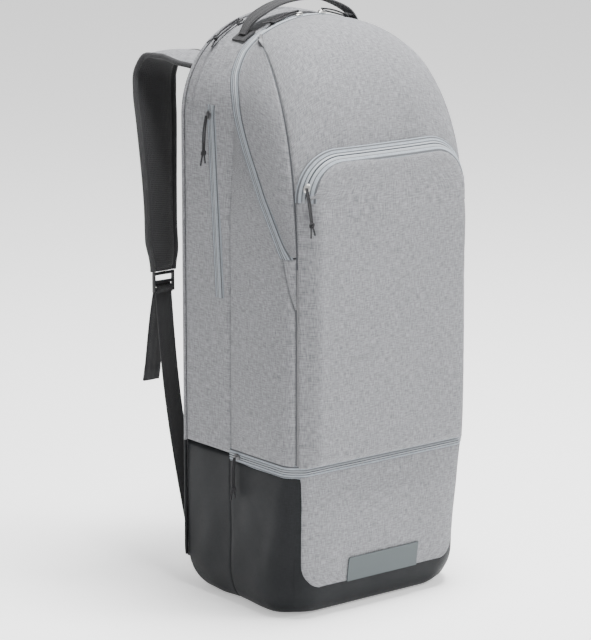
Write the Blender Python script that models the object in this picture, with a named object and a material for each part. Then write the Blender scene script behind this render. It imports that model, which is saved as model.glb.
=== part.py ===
"""Racket backpack: upright bag with a racket compartment behind a zipped front flap,
a front pocket on that flap, a shoe compartment below, side and rear zips,
a top handle and two padded shoulder straps.

Metres, +Z up. The pocket side faces -Y, the shoulder straps are at +Y.
The origin is the middle of the standing face under the base.
"""
from math import acos, atan2, cos, pi, radians, sin, sqrt

import bmesh
import bpy
import numpy as np
from mathutils import Vector

# ---- bag body -------------------------------------------------------------
BAG_HEIGHT = 0.722        # top of the crown above the floor
BAG_HALF_WIDTH = 0.1425   # side walls, middle to outer face
CROWN_RADIUS = 0.18       # arc across the top of the bag
SHOULDER_RADIUS = 0.115   # arcs between the crown and the side walls
FRONT_Y = -0.112          # outer face of the front wall
BACK_Y = 0.105            # outer face of the back panel
LEAN_START_Z = 0.45       # the front wall leans back above this height
LEAN_END_Y = 0.030        # depth where the front has become the level top
LEAN_POWER = 3.2          # fullness of the curve between the two
CORNER_RADIUS = 0.018     # upright front corners
WALL = 0.004              # padded fabric walls
BACK_PANEL_THICKNESS = 0.004
GAP = 0.0005              # between panels sewn edge to edge
SEAT = 0.0004             # between a piece and what it lies on

# ---- heights of the compartments -------------------------------------------
BASE_HEIGHT = 0.036       # coated base, up to its seam
BASE_LIP = 0.004          # upright edge at the base's seam
BASE_SIDE_TURN = 0.022    # how far the base draws in under the sides
BASE_FRONT_TURN = 0.032
BASE_BACK_TURN = 0.040
SHOE_ZIP_Z = 0.190        # middle of the shoe compartment's zip
FLAP_FOLD_Z = 0.440       # the front flap bends along this line
POCKET_FOLD_Z = 0.500     # the top of the front pocket bends along this line
POCKET_TOP_Z = 0.572      # middle of the pocket's zip, top run
POCKET_ARC_RADIUS = 0.052 # corner arcs of the pocket's zip
POCKET_DEPTH = 0.016      # how far the pocket stands proud of the front wall
POCKET_WALL = 0.003
POCKET_EDGE = 0.020       # width of the sloping edge of the pocket
SHOE_COVER_PROUD = 0.005

# ---- seams ---------------------------------------------------------------
SEAM_X = 0.1325           # upright front corner seam
SEAM_TOP_X = 0.083        # the same seam where it meets the main zip
SEAM_POWER = 1.47
GUSSET_SEAM_Y = 0.010     # seam between side panel and rear gusset

# ---- zips ------------------------------------------------------------------
TAPE = 0.008              # one zip tape, chain middle to outer edge
TAPE_THICKNESS = 0.0016
MAIN_ZIP_LOW_Z = 0.452
MAIN_ZIP_TURN = [(0.452, -0.098), (0.518, -0.055), (0.575, -0.024), (0.633, 0.002),
                 (0.660, 0.018), (0.685, 0.028), (0.700, 0.030)]  # height, depth
SIDE_ZIP_TOP = (0.045, BAG_HEIGHT - 0.101)      # depth, height
SIDE_ZIP_BOTTOM = (0.029, BAG_HEIGHT - 0.337)
REAR_ZIP_Y = 0.082
SLIDER_LENGTH = 0.011
SLIDER_WIDTH = 0.008
SLIDER_HEIGHT = 0.0035
CORD_RADIUS = 0.0012
KNOT_RADIUS = 0.0036

# ---- inside -------------------------------------------------------------------
DIVIDER = 0.005
REAR_DIVIDER_Y = 0.073
REAR_DIVIDER_THICKNESS = 0.003
LINING = 0.0015
SIDE_POCKET_DEPTH = 0.010

# ---- carrying ------------------------------------------------------------------
WEBBING = 0.025
WEBBING_THICKNESS = 0.0020
STRAP_WIDTH = 0.065
STRAP_THICKNESS = 0.012
STRAP_ROUTE = [(0.062, 0.0012, 0.6260), (0.063, 0.0016, 0.6390), (0.070, 0.016, 0.652), (0.081, 0.046, 0.659),
               (0.089, 0.076, 0.664), (0.095, 0.097, 0.659), (0.100, 0.105, 0.641), (0.105, 0.101, 0.616),
               (0.110, 0.091, 0.583), (0.115, 0.080, 0.529), (0.118, 0.073, 0.479), (0.121, 0.067, 0.430),
               (0.124, 0.060, 0.408), (0.124, 0.060, 0.3935)]  # from the middle, off the back, height
STRAP_TAPER = 0.28        # share of the width lost between the crest and the lower end
STRAP_END_TAPER = 0.25    # further share lost where the end meets the ladder lock
STRAP_AXIS_Z = 0.645
STRAP_LIFT = 0.007        # strap's middle line off the back panel at its anchor
LOCK_WIDTH = 0.034
LOCK_HEIGHT = 0.026
LOCK_THICKNESS = 0.005
LOCK_BAR = 0.0045
TAIL_LENGTH = 0.125
TAIL_STAND_OFF = 0.0039
TAB_WIDTH = 0.030
TAB_HEIGHT = 0.046
TAB_LOW_Z = 0.056
WEBBING_LOW_Z = 0.082
HANDLE_HALF_SPAN = 0.088
HANDLE_Y = 0.050
HANDLE_RISE = 0.020       # clear height under the handle's middle
PAD_THICKNESS = 0.012
PAD_HALF_WIDTH = BAG_HALF_WIDTH - 0.0345
PAD_LOW_Z = 0.110
PAD_TOP_Z = BAG_HEIGHT - 0.104
PAD_CHANNELS = (BAG_HEIGHT - 0.452, BAG_HEIGHT - 0.282)
PAD_EDGE = 0.022
PAD_SEWN_DEPTH = 0.002
PAD_SPINE = (0.020, 0.35)          # half width, share of the height left in it
PAD_CROSS = (0.016, 0.45)
PATCH_WIDTH = 0.112
PATCH_HEIGHT = 0.031
PATCH_THICKNESS = 0.0012
PATCH_Z = 0.0545          # middle of the bare label patch
BINDING_RADIUS = 0.0022

# ---- the bag's outer surface ---------------------------------------------
# Front view: side wall, shoulder arc, crown arc, shoulder arc, side wall.
SHOULDER_X = BAG_HALF_WIDTH - SHOULDER_RADIUS
CROWN_Z = BAG_HEIGHT - CROWN_RADIUS
SHOULDER_RISE = sqrt((CROWN_RADIUS - SHOULDER_RADIUS) ** 2 - SHOULDER_X ** 2)
SHOULDER_Z = CROWN_Z + SHOULDER_RISE
CROWN_ANGLE = atan2(SHOULDER_X, SHOULDER_RISE)
CROWN_LENGTH = CROWN_RADIUS * CROWN_ANGLE
SHOULDER_LENGTH = SHOULDER_RADIUS * (pi / 2 - CROWN_ANGLE)
ZIP_PATH = CROWN_LENGTH + SHOULDER_LENGTH + SHOULDER_Z - MAIN_ZIP_LOW_Z   # half the main zip
ZIP_STEPS = 24            # rows that the zip and the panels beside it share, per half
SPLIT_STEP = 9            # gussets meet the top panel at this row
SIDE_TOP_STEP = 13        # side panels run out against the zip at this row
SPLIT_PATH = ZIP_PATH * SPLIT_STEP / ZIP_STEPS


def arch(path, inset=0.0):
    """Point (x, z) and outward normal at a distance along the arch from the crown's middle."""
    side = -1.0 if path < 0 else 1.0
    run = abs(path)
    if run <= CROWN_LENGTH:
        turn = run / CROWN_RADIUS
        x, z = CROWN_RADIUS * sin(turn), CROWN_Z + CROWN_RADIUS * cos(turn)
    elif run <= CROWN_LENGTH + SHOULDER_LENGTH:
        turn = CROWN_ANGLE + (run - CROWN_LENGTH) / SHOULDER_RADIUS
        x = SHOULDER_X + SHOULDER_RADIUS * sin(turn)
        z = SHOULDER_Z + SHOULDER_RADIUS * cos(turn)
    else:
        turn = pi / 2
        x, z = BAG_HALF_WIDTH, SHOULDER_Z - (run - CROWN_LENGTH - SHOULDER_LENGTH)
    return side * (x - inset * sin(turn)), z - inset * cos(turn)


def path_at_height(z):
    """Distance along the arch from the crown's middle down to a height on the side."""
    if z <= SHOULDER_Z:
        return CROWN_LENGTH + SHOULDER_LENGTH + SHOULDER_Z - z
    turn = acos(min(1.0, (z - SHOULDER_Z) / SHOULDER_RADIUS))
    return CROWN_LENGTH + SHOULDER_RADIUS * (turn - CROWN_ANGLE)


def arch_drop(x):
    """How far the arch lies below the crown at a distance from the middle."""
    x = min(abs(x), BAG_HALF_WIDTH)
    if x <= CROWN_RADIUS * sin(CROWN_ANGLE):
        return CROWN_RADIUS - sqrt(CROWN_RADIUS ** 2 - x ** 2)
    return BAG_HEIGHT - SHOULDER_Z - sqrt(max(SHOULDER_RADIUS ** 2 - (x - SHOULDER_X) ** 2, 0.0))


def top_height(y):
    """Height of the bag's middle line at a depth."""
    share = (LEAN_END_Y - y) / (LEAN_END_Y - FRONT_Y)
    share = min(max(share, 0.0), 1.0)
    rise = (BAG_HEIGHT - LEAN_START_Z) * (1.0 - share ** LEAN_POWER) ** (1.0 / LEAN_POWER)
    return LEAN_START_Z + rise


def front_depth(z):
    """Depth of the bag's front middle line at a height."""
    share = (z - LEAN_START_Z) / (BAG_HEIGHT - LEAN_START_Z)
    share = min(max(share, 0.0), 1.0)
    return LEAN_END_Y - (LEAN_END_Y - FRONT_Y) * (1.0 - share ** LEAN_POWER) ** (1.0 / LEAN_POWER)


def corner_round(x):
    """Extra depth of the front wall where it turns into the side."""
    over = min(max(abs(x) - (BAG_HALF_WIDTH - CORNER_RADIUS), 0.0), CORNER_RADIUS)
    return CORNER_RADIUS - sqrt(CORNER_RADIUS ** 2 - over ** 2)


def half_width(y, z):
    """Distance of the side surface from the middle at a depth and a height."""
    low, high = 0.02, BAG_HALF_WIDTH
    for _ in range(30):
        x = (low + high) / 2
        ahead = y - corner_round(x)
        inside = ahead >= FRONT_Y and z + arch_drop(x) <= top_height(ahead)
        if inside:
            low = x
        else:
            high = x
    return low


def side_point(side, y, z):
    return Vector((side * half_width(y, z), y, z))


def top_point(path, y):
    x, z = arch(path)
    return Vector((x, y, z - BAG_HEIGHT + top_height(y)))


def band_point(side, path, y):
    """Point of the side and top band, by distance along the arch."""
    x, z = arch(path)
    if z < SHOULDER_Z + 0.4 * SHOULDER_RADIUS:
        return side_point(side, y, z)
    return top_point(side * path, y)


def front_point(x, z, proud=0.0):
    return Vector((x, front_depth(z + arch_drop(x)) + corner_round(x) - proud, z))


def seam_x(y):
    """The corner seam's distance from the middle, by depth."""
    share = min(max((y - FRONT_Y) / (LEAN_END_Y - FRONT_Y), 0.0), 1.0)
    return SEAM_X - (SEAM_X - SEAM_TOP_X) * share ** SEAM_POWER


def zip_depth(z):
    """Depth of the main zip by the arch height that it passes."""
    heights = [point[0] for point in MAIN_ZIP_TURN]
    depths = [point[1] for point in MAIN_ZIP_TURN]
    return float(np.interp(z, heights, depths))


# ---- profile of the leaning front, by length ---------------------------------
def lean_profile():
    heights = [FLAP_FOLD_Z, LEAN_START_Z]
    turns = np.linspace(0.0, pi / 2, 181)[1:]
    points = [(FRONT_Y, z) for z in heights]
    for turn in turns:
        y = LEAN_END_Y - (LEAN_END_Y - FRONT_Y) * cos(turn) ** (2 / LEAN_POWER)
        z = LEAN_START_Z + (BAG_HEIGHT - LEAN_START_Z) * sin(turn) ** (2 / LEAN_POWER)
        points.append((y, z))
    points = np.array(points)
    steps = np.hypot(*np.diff(points, axis=0).T)
    return np.concatenate([[0.0], np.cumsum(steps)]), points


LEAN_LENGTHS, LEAN_POINTS = lean_profile()
FLAP_TOP_LENGTH = LEAN_LENGTHS[-1] - (TAPE + GAP)


def flap_point(across, up, proud=0.0):
    """Point of the flap: across from -1 to 1 between its corner seams, up from 0 to 1."""
    x = across * SEAM_X
    for _ in range(6):
        low = float(np.interp(FLAP_FOLD_Z + arch_drop(x), LEAN_POINTS[:, 1], LEAN_LENGTHS))
        length = low + (FLAP_TOP_LENGTH - low) * up
        y = float(np.interp(length, LEAN_LENGTHS, LEAN_POINTS[:, 0]))
        z = float(np.interp(length, LEAN_LENGTHS, LEAN_POINTS[:, 1]))
        x = across * seam_x(y)
    return Vector((x, y + corner_round(x) - proud, z - arch_drop(x)))


# ---- mesh helpers ------------------------------------------------------------
def clear_scene():
    for old in list(bpy.data.objects):
        bpy.data.objects.remove(old, do_unlink=True)


def material(name, colour, roughness, metallic=0.0):
    made = bpy.data.materials.new(name)
    made.use_nodes = True
    shader = made.node_tree.nodes["Principled BSDF"]
    shader.inputs["Base Color"].default_value = (*colour, 1.0)
    shader.inputs["Roughness"].default_value = roughness
    shader.inputs["Metallic"].default_value = metallic
    return made


def finish_object(name, bm, finish, pivot=(0.0, 0.0, 0.0)):
    bmesh.ops.recalc_face_normals(bm, faces=bm.faces)
    if bm.calc_volume(signed=True) < 0:
        bmesh.ops.reverse_faces(bm, faces=bm.faces)
    bmesh.ops.translate(bm, verts=bm.verts, vec=-Vector(pivot))
    mesh = bpy.data.meshes.new(name)
    bm.to_mesh(mesh)
    bm.free()
    mesh.materials.append(finish)
    mesh.shade_smooth()
    mesh.set_sharp_from_angle(angle=radians(40))
    made = bpy.data.objects.new(name, mesh)
    made.location = pivot
    bpy.context.scene.collection.objects.link(made)
    return made


def outward_of(point):
    """Rough outward direction at a point of the bag, for telling the outside from the inside."""
    core = Vector((0.0, 0.0, min(max(point.z, 0.05), BAG_HEIGHT - 0.2)))
    return point - core


def outward_normal(locate, across, up):
    """Outward direction of a panel's surface, from points a hundredth of its size apart."""
    step = 0.01
    a_low, a_high = max(across - step, 0.0), min(across + step, 1.0)
    u_low, u_high = max(up - step, 0.0), min(up + step, 1.0)
    sideways = locate(a_high, up) - locate(a_low, up)
    upwards = locate(across, u_high) - locate(across, u_low)
    normal = sideways.cross(upwards).normalized()
    return normal if normal.dot(outward_of(locate(across, up))) > 0 else -normal


def panel(name, finish, columns, rows, locate, thickness=WALL, pivot=(0.0, 0.0, 0.0)):
    """Padded fabric panel: its outer face as located, its thickness inwards."""
    bm = bmesh.new()
    bmesh.ops.create_grid(bm, x_segments=columns, y_segments=rows, size=0.5)
    skin = bmesh.ops.extrude_face_region(bm, geom=bm.faces[:])
    inner = {item for item in skin["geom"] if isinstance(item, bmesh.types.BMVert)}
    for vert in bm.verts:
        across, up = vert.co.x + 0.5, vert.co.y + 0.5
        vert.co = locate(across, up)
        if vert in inner:
            vert.co -= outward_normal(locate, across, up) * thickness
    return finish_object(name, bm, finish, pivot)


def rings_mesh(rings, closed_ends=True):
    """Skin over a row of rings with the same number of points each."""
    bm = bmesh.new()
    loops = [[bm.verts.new(point) for point in ring] for ring in rings]
    for ring_a, ring_b in zip(loops, loops[1:]):
        for k in range(len(ring_a)):
            after = (k + 1) % len(ring_a)
            bm.faces.new((ring_a[k], ring_a[after], ring_b[after], ring_b[k]))
    if closed_ends:
        bm.faces.new(loops[0])
        bm.faces.new(loops[-1])
    return bm


def smooth_route(points, count):
    """Points read from a smooth curve through the route's own points."""
    knots = np.array(points, dtype=float)
    steps = np.concatenate([[0.0], np.cumsum(np.linalg.norm(np.diff(knots, axis=0), axis=1))])
    slopes = np.gradient(knots, steps, axis=0)
    route = []
    for place in np.linspace(0.0, steps[-1], count):
        k = min(int(np.searchsorted(steps, place, side="right")) - 1, len(steps) - 2)
        span = steps[k + 1] - steps[k]
        t = (place - steps[k]) / span
        point = ((2 * t ** 3 - 3 * t ** 2 + 1) * knots[k] + (t ** 3 - 2 * t ** 2 + t) * span * slopes[k]
                 + (3 * t ** 2 - 2 * t ** 3) * knots[k + 1] + (t ** 3 - t ** 2) * span * slopes[k + 1])
        route.append(Vector(point))
    return route


def band_rings(route, width, thickness, across, widths=None):
    """Rings of a flat strap: across is the direction of its width."""
    rings = []
    for k, point in enumerate(route):
        ahead = route[min(k + 1, len(route) - 1)] - route[max(k - 1, 0)]
        side = Vector(across)
        side = (side - ahead * side.dot(ahead) / ahead.dot(ahead)).normalized()
        face = ahead.cross(side).normalized()
        half = (widths[k] if widths else width) / 2
        edge = min(thickness * 0.3, half * 0.5)
        outline = [(half, 0.5 * thickness - edge), (half - edge, 0.5 * thickness),
                   (edge - half, 0.5 * thickness), (-half, 0.5 * thickness - edge),
                   (-half, edge - 0.5 * thickness), (edge - half, -0.5 * thickness),
                   (half - edge, -0.5 * thickness), (half, edge - 0.5 * thickness)]
        rings.append([point + side * a + face * b for a, b in outline])
    return rings


def tube_rings(route, radii, sides=6):
    rings = []
    face = None
    for k, point in enumerate(route):
        ahead = (route[min(k + 1, len(route) - 1)] - route[max(k - 1, 0)]).normalized()
        if face is None:
            start = Vector((0.0, 0.0, 1.0)) if abs(ahead.z) < 0.8 else Vector((1.0, 0.0, 0.0))
            face = start
        face = (face - ahead * face.dot(ahead)).normalized()
        side = ahead.cross(face)
        rings.append([point + (face * cos(2 * pi * j / sides) + side * sin(2 * pi * j / sides)) * radii[k]
                      for j in range(sides)])
    return rings


def ease(share):
    share = min(max(share, 0.0), 1.0)
    return share * share * (3 - 2 * share)


# ---- finishes ----------------------------------------------------------------
def make_finishes():
    return {
        "canvas": material("melange_canvas", (0.40, 0.40, 0.41), 0.85),
        "coated": material("coated_fabric", (0.045, 0.048, 0.052), 0.45),
        "lining": material("lining_fabric", (0.20, 0.20, 0.21), 0.9),
        "tape": material("zip_tape", (0.50, 0.53, 0.56), 0.7),
        "metal": material("slider_metal", (0.62, 0.62, 0.60), 0.3, 1.0),
        "cord": material("pull_cord", (0.02, 0.02, 0.022), 0.7),
        "webbing": material("black_webbing", (0.018, 0.018, 0.02), 0.65),
        "mesh": material("spacer_mesh", (0.016, 0.016, 0.018), 0.9),
        "plastic": material("lock_plastic", (0.02, 0.02, 0.02), 0.4),
        "patch": material("label_patch", (0.17, 0.21, 0.21), 0.6),
    }


# ---- seams and edges shared by neighbouring panels -----------------------------
def tape_reach(path):
    """Width of one tape measured along the depth, where the zip runs aslant."""
    step = 0.004
    z_low = arch(path + step)[1]
    z_high = arch(max(path - step, 0.0))[1]
    slope = (zip_depth(z_high) - zip_depth(z_low)) / (2 * step)
    return TAPE * sqrt(1 + slope ** 2)


def zip_edge(path, share):
    """Depth beside the main zip: share -1 at its front tape's edge, +1 at its rear one."""
    return zip_depth(arch(path)[1]) + share * tape_reach(path)


def corner_seam_depth(z):
    return front_depth(z + arch_drop(SEAM_X)) + corner_round(SEAM_X)


def gusset_seam(z):
    """Depth of the seam between side panel and gusset; above it the gusset meets the zip."""
    path = path_at_height(z)
    if z >= SIDE_PANEL_TOP_Z:
        return zip_edge(path, 1.0)
    reach = zip_edge(path_at_height(SIDE_PANEL_TOP_Z), 1.0)
    share = ease((z - MAIN_ZIP_LOW_Z) / (SIDE_PANEL_TOP_Z - MAIN_ZIP_LOW_Z))
    return GUSSET_SEAM_Y + (reach - GUSSET_SEAM_Y) * share


SIDE_PANEL_TOP_Z = arch(ZIP_PATH * SIDE_TOP_STEP / ZIP_STEPS)[1]
REAR_EDGE_Y = BACK_Y - BACK_PANEL_THICKNESS - GAP
UPPER_TAPE_Z = SHOE_ZIP_Z + TAPE
LOWER_TAPE_Z = SHOE_ZIP_Z - TAPE


def mix(a, b, share):
    return a + (b - a) * share


# ---- fixed walls ---------------------------------------------------------------
def build_gussets(finishes):
    for side, hand in ((-1, "left"), (1, "right")):
        low = path_at_height(SHOE_ZIP_Z + GAP / 2)
        plain = 5                      # rows of a panel below the main zip's end
        gusset_rows = plain + ZIP_STEPS - SPLIT_STEP
        side_rows = plain + 1 + ZIP_STEPS - SIDE_TOP_STEP

        def gusset(across, up, side=side, low=low, turn=plain / gusset_rows):
            if up < turn:
                path = mix(low, ZIP_PATH, up / turn)
            else:
                path = mix(ZIP_PATH, SPLIT_PATH + GAP / 2, (up - turn) / (1 - turn))
            front = gusset_seam(arch(path)[1]) + GAP
            return band_point(side, path, mix(front, REAR_EDGE_Y, across))

        def side_panel(across, up, side=side, rows=side_rows):
            row = up * rows
            z = mix(UPPER_TAPE_Z + GAP, MAIN_ZIP_LOW_Z - GAP, min(row / plain, 1.0))
            front = corner_seam_depth(z) + GAP
            if row > plain:
                path = ZIP_PATH * (1.0 - max(row - plain - 1, 0.0) / ZIP_STEPS)
                step = min(row - plain, 1.0)
                z = mix(z, arch(path)[1], step)
                front = mix(front, zip_edge(path, 1.0) + GAP, step)
            return side_point(side, mix(front, gusset_seam(z), across), z)

        def base_gusset(across, up, side=side):
            z = mix(BASE_HEIGHT + GAP, SHOE_ZIP_Z - GAP / 2, up)
            return side_point(side, mix(GUSSET_SEAM_Y + GAP, REAR_EDGE_Y, across), z)

        def shoe_side(across, up, side=side):
            z = mix(BASE_HEIGHT + GAP, LOWER_TAPE_Z - GAP, up)
            share = across ** 1.6
            return side_point(side, mix(corner_seam_depth(z) + GAP, GUSSET_SEAM_Y, share), z)

        def shoe_tape(across, up, side=side):
            z = mix(LOWER_TAPE_Z, UPPER_TAPE_Z, up)
            share = across ** 1.6
            return side_point(side, mix(corner_seam_depth(z) + GAP, GUSSET_SEAM_Y - GAP, share), z)

        panel("gusset_" + hand, finishes["canvas"], 3, gusset_rows, gusset)
        panel("side_panel_" + hand, finishes["canvas"], 4, side_rows, side_panel)
        panel("base_gusset_" + hand, finishes["coated"], 2, 2, base_gusset)
        panel("shoe_side_" + hand, finishes["coated"], 6, 2, shoe_side)
        panel("shoe_zip_side_" + hand, finishes["tape"], 6, 1, shoe_tape, TAPE_THICKNESS)


def build_top(finishes):
    def top(across, up):
        path = mix(-SPLIT_PATH, SPLIT_PATH, across)
        front = zip_edge(abs(path), 1.0) + GAP
        return band_point(1 if path > 0 else -1, abs(path), mix(front, REAR_EDGE_Y, up))

    panel("top_panel", finishes["canvas"], 20, 3, top)


def arch_stops(low_z):
    """Distances along the arch for an outline with straight sides down to a height."""
    low = path_at_height(low_z)
    return [-low] + list(np.linspace(-1, 1, 25) * (CROWN_LENGTH + SHOULDER_LENGTH)) + [low]


def arch_plate(name, finish, inset, low_z, y_front, thickness):
    """Upright plate with the bag's arched outline."""
    outline = [arch(stop, inset) for stop in arch_stops(low_z)]
    rings = [[(x, y, z) for x, z in outline] for y in (y_front, y_front + thickness)]
    return finish_object(name, rings_mesh(rings), finish)


def build_back(finishes):
    arch_plate("back_panel", finishes["mesh"], 0.0, BASE_HEIGHT + GAP,
               BACK_Y - BACK_PANEL_THICKNESS, BACK_PANEL_THICKNESS)
    arch_plate("rear_divider", finishes["lining"], WALL + 2 * GAP, UPPER_TAPE_Z + GAP,
               REAR_DIVIDER_Y, REAR_DIVIDER_THICKNESS)
    out = -(BINDING_RADIUS + SEAT)
    route = []
    for stop in arch_stops(BASE_HEIGHT + 0.004):
        x, z = arch(stop, out)
        route.append(Vector((x, BACK_Y - BACK_PANEL_THICKNESS, z)))
    rings = tube_rings(route, [BINDING_RADIUS] * len(route))
    finish_object("back_binding", rings_mesh(rings), finishes["canvas"])


def build_back_pad(finishes):
    """Back cushion with a spine channel and two cross channels, flat where it is sewn down."""
    half, low, high = PAD_HALF_WIDTH, PAD_LOW_Z, PAD_TOP_Z

    def left_over(gap, channel):
        width, share = channel
        return mix(share, 1.0, ease(gap / width))

    def crown(across, up):
        x, z = mix(-half, half, across), mix(low, high, up)
        rise = ease(min(half - abs(x), z - low, high - z) / PAD_EDGE + 0.12) * left_over(abs(x), PAD_SPINE)
        for channel_z in PAD_CHANNELS:
            rise = rise * left_over(abs(z - channel_z), PAD_CROSS)
        return Vector((x, BACK_Y + SEAT + max(PAD_THICKNESS * rise, PAD_SEWN_DEPTH), z))

    bm = bmesh.new()
    bmesh.ops.create_grid(bm, x_segments=10, y_segments=16, size=0.5)
    for vert in bm.verts:
        vert.co = crown(vert.co.x + 0.5, vert.co.y + 0.5)
    skin = bmesh.ops.extrude_face_region(bm, geom=bm.faces[:])
    for item in skin["geom"]:
        if isinstance(item, bmesh.types.BMVert):
            item.co.y = BACK_Y + SEAT
    finish_object("back_pad", bm, finishes["mesh"])


def build_base(finishes):
    """Coated base: a flat standing face with turned-up edges, open at the top."""
    rings = []
    corner = CORNER_RADIUS
    stops = [(0.0, BASE_HEIGHT)]
    for turn in np.linspace(0.0, pi / 2, 7):
        stops.append((1 - cos(turn), (BASE_HEIGHT - BASE_LIP) * (1 - sin(turn))))
    for drawn, z in stops:
        half = BAG_HALF_WIDTH - BASE_SIDE_TURN * drawn
        front = FRONT_Y + BASE_FRONT_TURN * drawn
        back = BACK_Y - BASE_BACK_TURN * drawn
        ring = []
        for cx, cy, first in ((half - corner, back - corner, 0), (corner - half, back - corner, 90),
                              (corner - half, front + corner, 180), (half - corner, front + corner, 270)):
            for step in range(5):
                angle = radians(first + step * 22.5)
                ring.append((cx + corner * cos(angle), cy + corner * sin(angle), z))
        rings.append(ring)
    bm = bmesh.new()
    loops = [[bm.verts.new(point) for point in ring] for ring in rings]
    for ring_a, ring_b in zip(loops, loops[1:]):
        for k in range(len(ring_a)):
            after = (k + 1) % len(ring_a)
            bm.faces.new((ring_a[k], ring_b[k], ring_b[after], ring_a[after]))
    floor = bm.faces.new(loops[-1])
    bmesh.ops.recalc_face_normals(bm, faces=bm.faces)
    if floor.normal.z > 0:
        bmesh.ops.reverse_faces(bm, faces=bm.faces)
    mesh = bpy.data.meshes.new("base_panel")
    bm.to_mesh(mesh)
    bm.free()
    mesh.materials.append(finishes["coated"])
    mesh.shade_smooth()
    mesh.set_sharp_from_angle(angle=radians(50))
    made = bpy.data.objects.new("base_panel", mesh)
    bpy.context.scene.collection.objects.link(made)
    solid = made.modifiers.new("thickness", "SOLIDIFY")
    solid.thickness = WALL
    solid.offset = -1.0


def build_shoe_floor(finishes):
    """Padded floor between the racket and shoe compartments."""
    half = BAG_HALF_WIDTH - WALL - GAP
    front = FRONT_Y + WALL + GAP
    back = REAR_EDGE_Y
    cut = CORNER_RADIUS
    outline = [(half, back), (-half, back), (-half, front + cut), (cut - half, front),
               (half - cut, front), (half, front + cut)]
    low = SHOE_ZIP_Z + GAP
    rings = [[(x, y, z) for x, y in outline] for z in (low, low + DIVIDER)]
    finish_object("shoe_divider", rings_mesh(rings), finishes["lining"])


def build_side_pocket(finishes):
    """Hanging bag of the side pocket: a shallow tray, open towards the gusset."""
    x_out = -(BAG_HALF_WIDTH - WALL - GAP)
    y_low, y_high = SIDE_ZIP_BOTTOM[0] - 0.045, REAR_DIVIDER_Y - 2 * GAP
    z_low, z_high = SIDE_ZIP_BOTTOM[1] - 0.055, SHOULDER_Z - 0.004
    depth = SIDE_POCKET_DEPTH

    def outline(x, inset):
        return [(x, y_low + inset, z_low + inset), (x, y_high - inset, z_low + inset),
                (x, y_high - inset, z_high - inset), (x, y_low + inset, z_high - inset)]

    rings = [outline(x_out + depth, 0.0), outline(x_out, 0.0),
             outline(x_out, LINING), outline(x_out + depth - LINING, LINING)]
    finish_object("side_pocket_bag", rings_mesh(rings), finishes["lining"])


# ---- front wall, front flap and front pocket -------------------------------------
FLAP_ROWS = 14
WEDGE_LOW_Z = MAIN_ZIP_LOW_Z + 0.006


def pocket_rise(inward, full=POCKET_DEPTH):
    """How far the pocket's face stands off the wall behind, by distance in from its edge."""
    return SEAT + POCKET_WALL + full * ease(inward / POCKET_EDGE)


FOLD_LINE_Y = FRONT_Y - pocket_rise(1.0)          # both fold lines lie in the pocket's face


def build_front_wall(finishes):
    def wall(across, up):
        z = mix(UPPER_TAPE_Z + GAP, FLAP_FOLD_Z - GAP / 2, up)
        return front_point(mix(-SEAM_X, SEAM_X, across), z)

    panel("front_wall", finishes["lining"], 8, 4, wall)


def build_flap(finishes):
    pivot = (0.0, FOLD_LINE_Y, FLAP_FOLD_Z)

    def flap(across, up):
        return flap_point(2 * across - 1, up)

    panel("flap_panel", finishes["canvas"], 14, FLAP_ROWS, flap, WALL, pivot)
    first = next(k for k in range(FLAP_ROWS) if flap_point(1.0, k / FLAP_ROWS).z > WEDGE_LOW_Z)
    count = FLAP_ROWS - 1 - first
    low = path_at_height(WEDGE_LOW_Z)
    high = path_at_height(flap_point(1.0, 1.0 - 1.0 / FLAP_ROWS).z)
    for side, hand in ((-1, "left"), (1, "right")):

        def wedge(across, up, side=side):
            seam = flap_point(side, (first + up * count) / FLAP_ROWS)
            path = mix(low, high, up)
            edge_y = zip_edge(path, -1.0) - GAP
            edge_z = arch(path)[1]
            start_y, start_z = seam.y + 1.4 * GAP, seam.z - GAP * up
            y = mix(start_y, edge_y, across)
            return side_point(side, y, mix(start_z, edge_z, across))

        panel("flap_side_" + hand, finishes["canvas"], 3, count, wedge, WALL, pivot)


def build_main_zip(finishes):
    """Two tapes of the main zip, from one low end over the crown to the other."""
    for name, near, far, pivot in (("main_zip_rear_tape", GAP / 2, 1.0, (0.0, 0.0, 0.0)),
                                   ("main_zip_flap_tape", -GAP / 2, -1.0, (0.0, FOLD_LINE_Y, FLAP_FOLD_Z))):

        def tape(across, up, near=near, far=far):
            path = mix(-ZIP_PATH, ZIP_PATH, across)
            inner = zip_edge(abs(path), 0.0) + near
            outer = zip_edge(abs(path), far)
            return band_point(1 if path > 0 else -1, abs(path), mix(inner, outer, up))

        panel(name, finishes["tape"], 2 * ZIP_STEPS, 1, tape, TAPE_THICKNESS, pivot)


def pocket_path(place):
    """Middle line of the pocket's zip: point (x, z) and inward direction, place from 0 to 1."""
    half = SEAM_X - TAPE
    centre_x = half - POCKET_ARC_RADIUS
    centre_z = POCKET_TOP_Z - POCKET_ARC_RADIUS
    upright = centre_z - POCKET_FOLD_Z - GAP
    bend = POCKET_ARC_RADIUS * pi / 2
    total = 2 * upright + 2 * bend + 2 * centre_x
    run = place * total
    if run > total / 2:
        x, z, dx, dz = pocket_path(1 - place)
        return -x, z, -dx, dz
    if run <= upright:
        return -half, POCKET_FOLD_Z + GAP + run, 1.0, 0.0
    if run <= upright + bend:
        turn = (run - upright) / POCKET_ARC_RADIUS
        return (-centre_x - POCKET_ARC_RADIUS * cos(turn), centre_z + POCKET_ARC_RADIUS * sin(turn),
                cos(turn), -sin(turn))
    return run - upright - bend - centre_x, POCKET_TOP_Z, 0.0, -1.0


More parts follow.
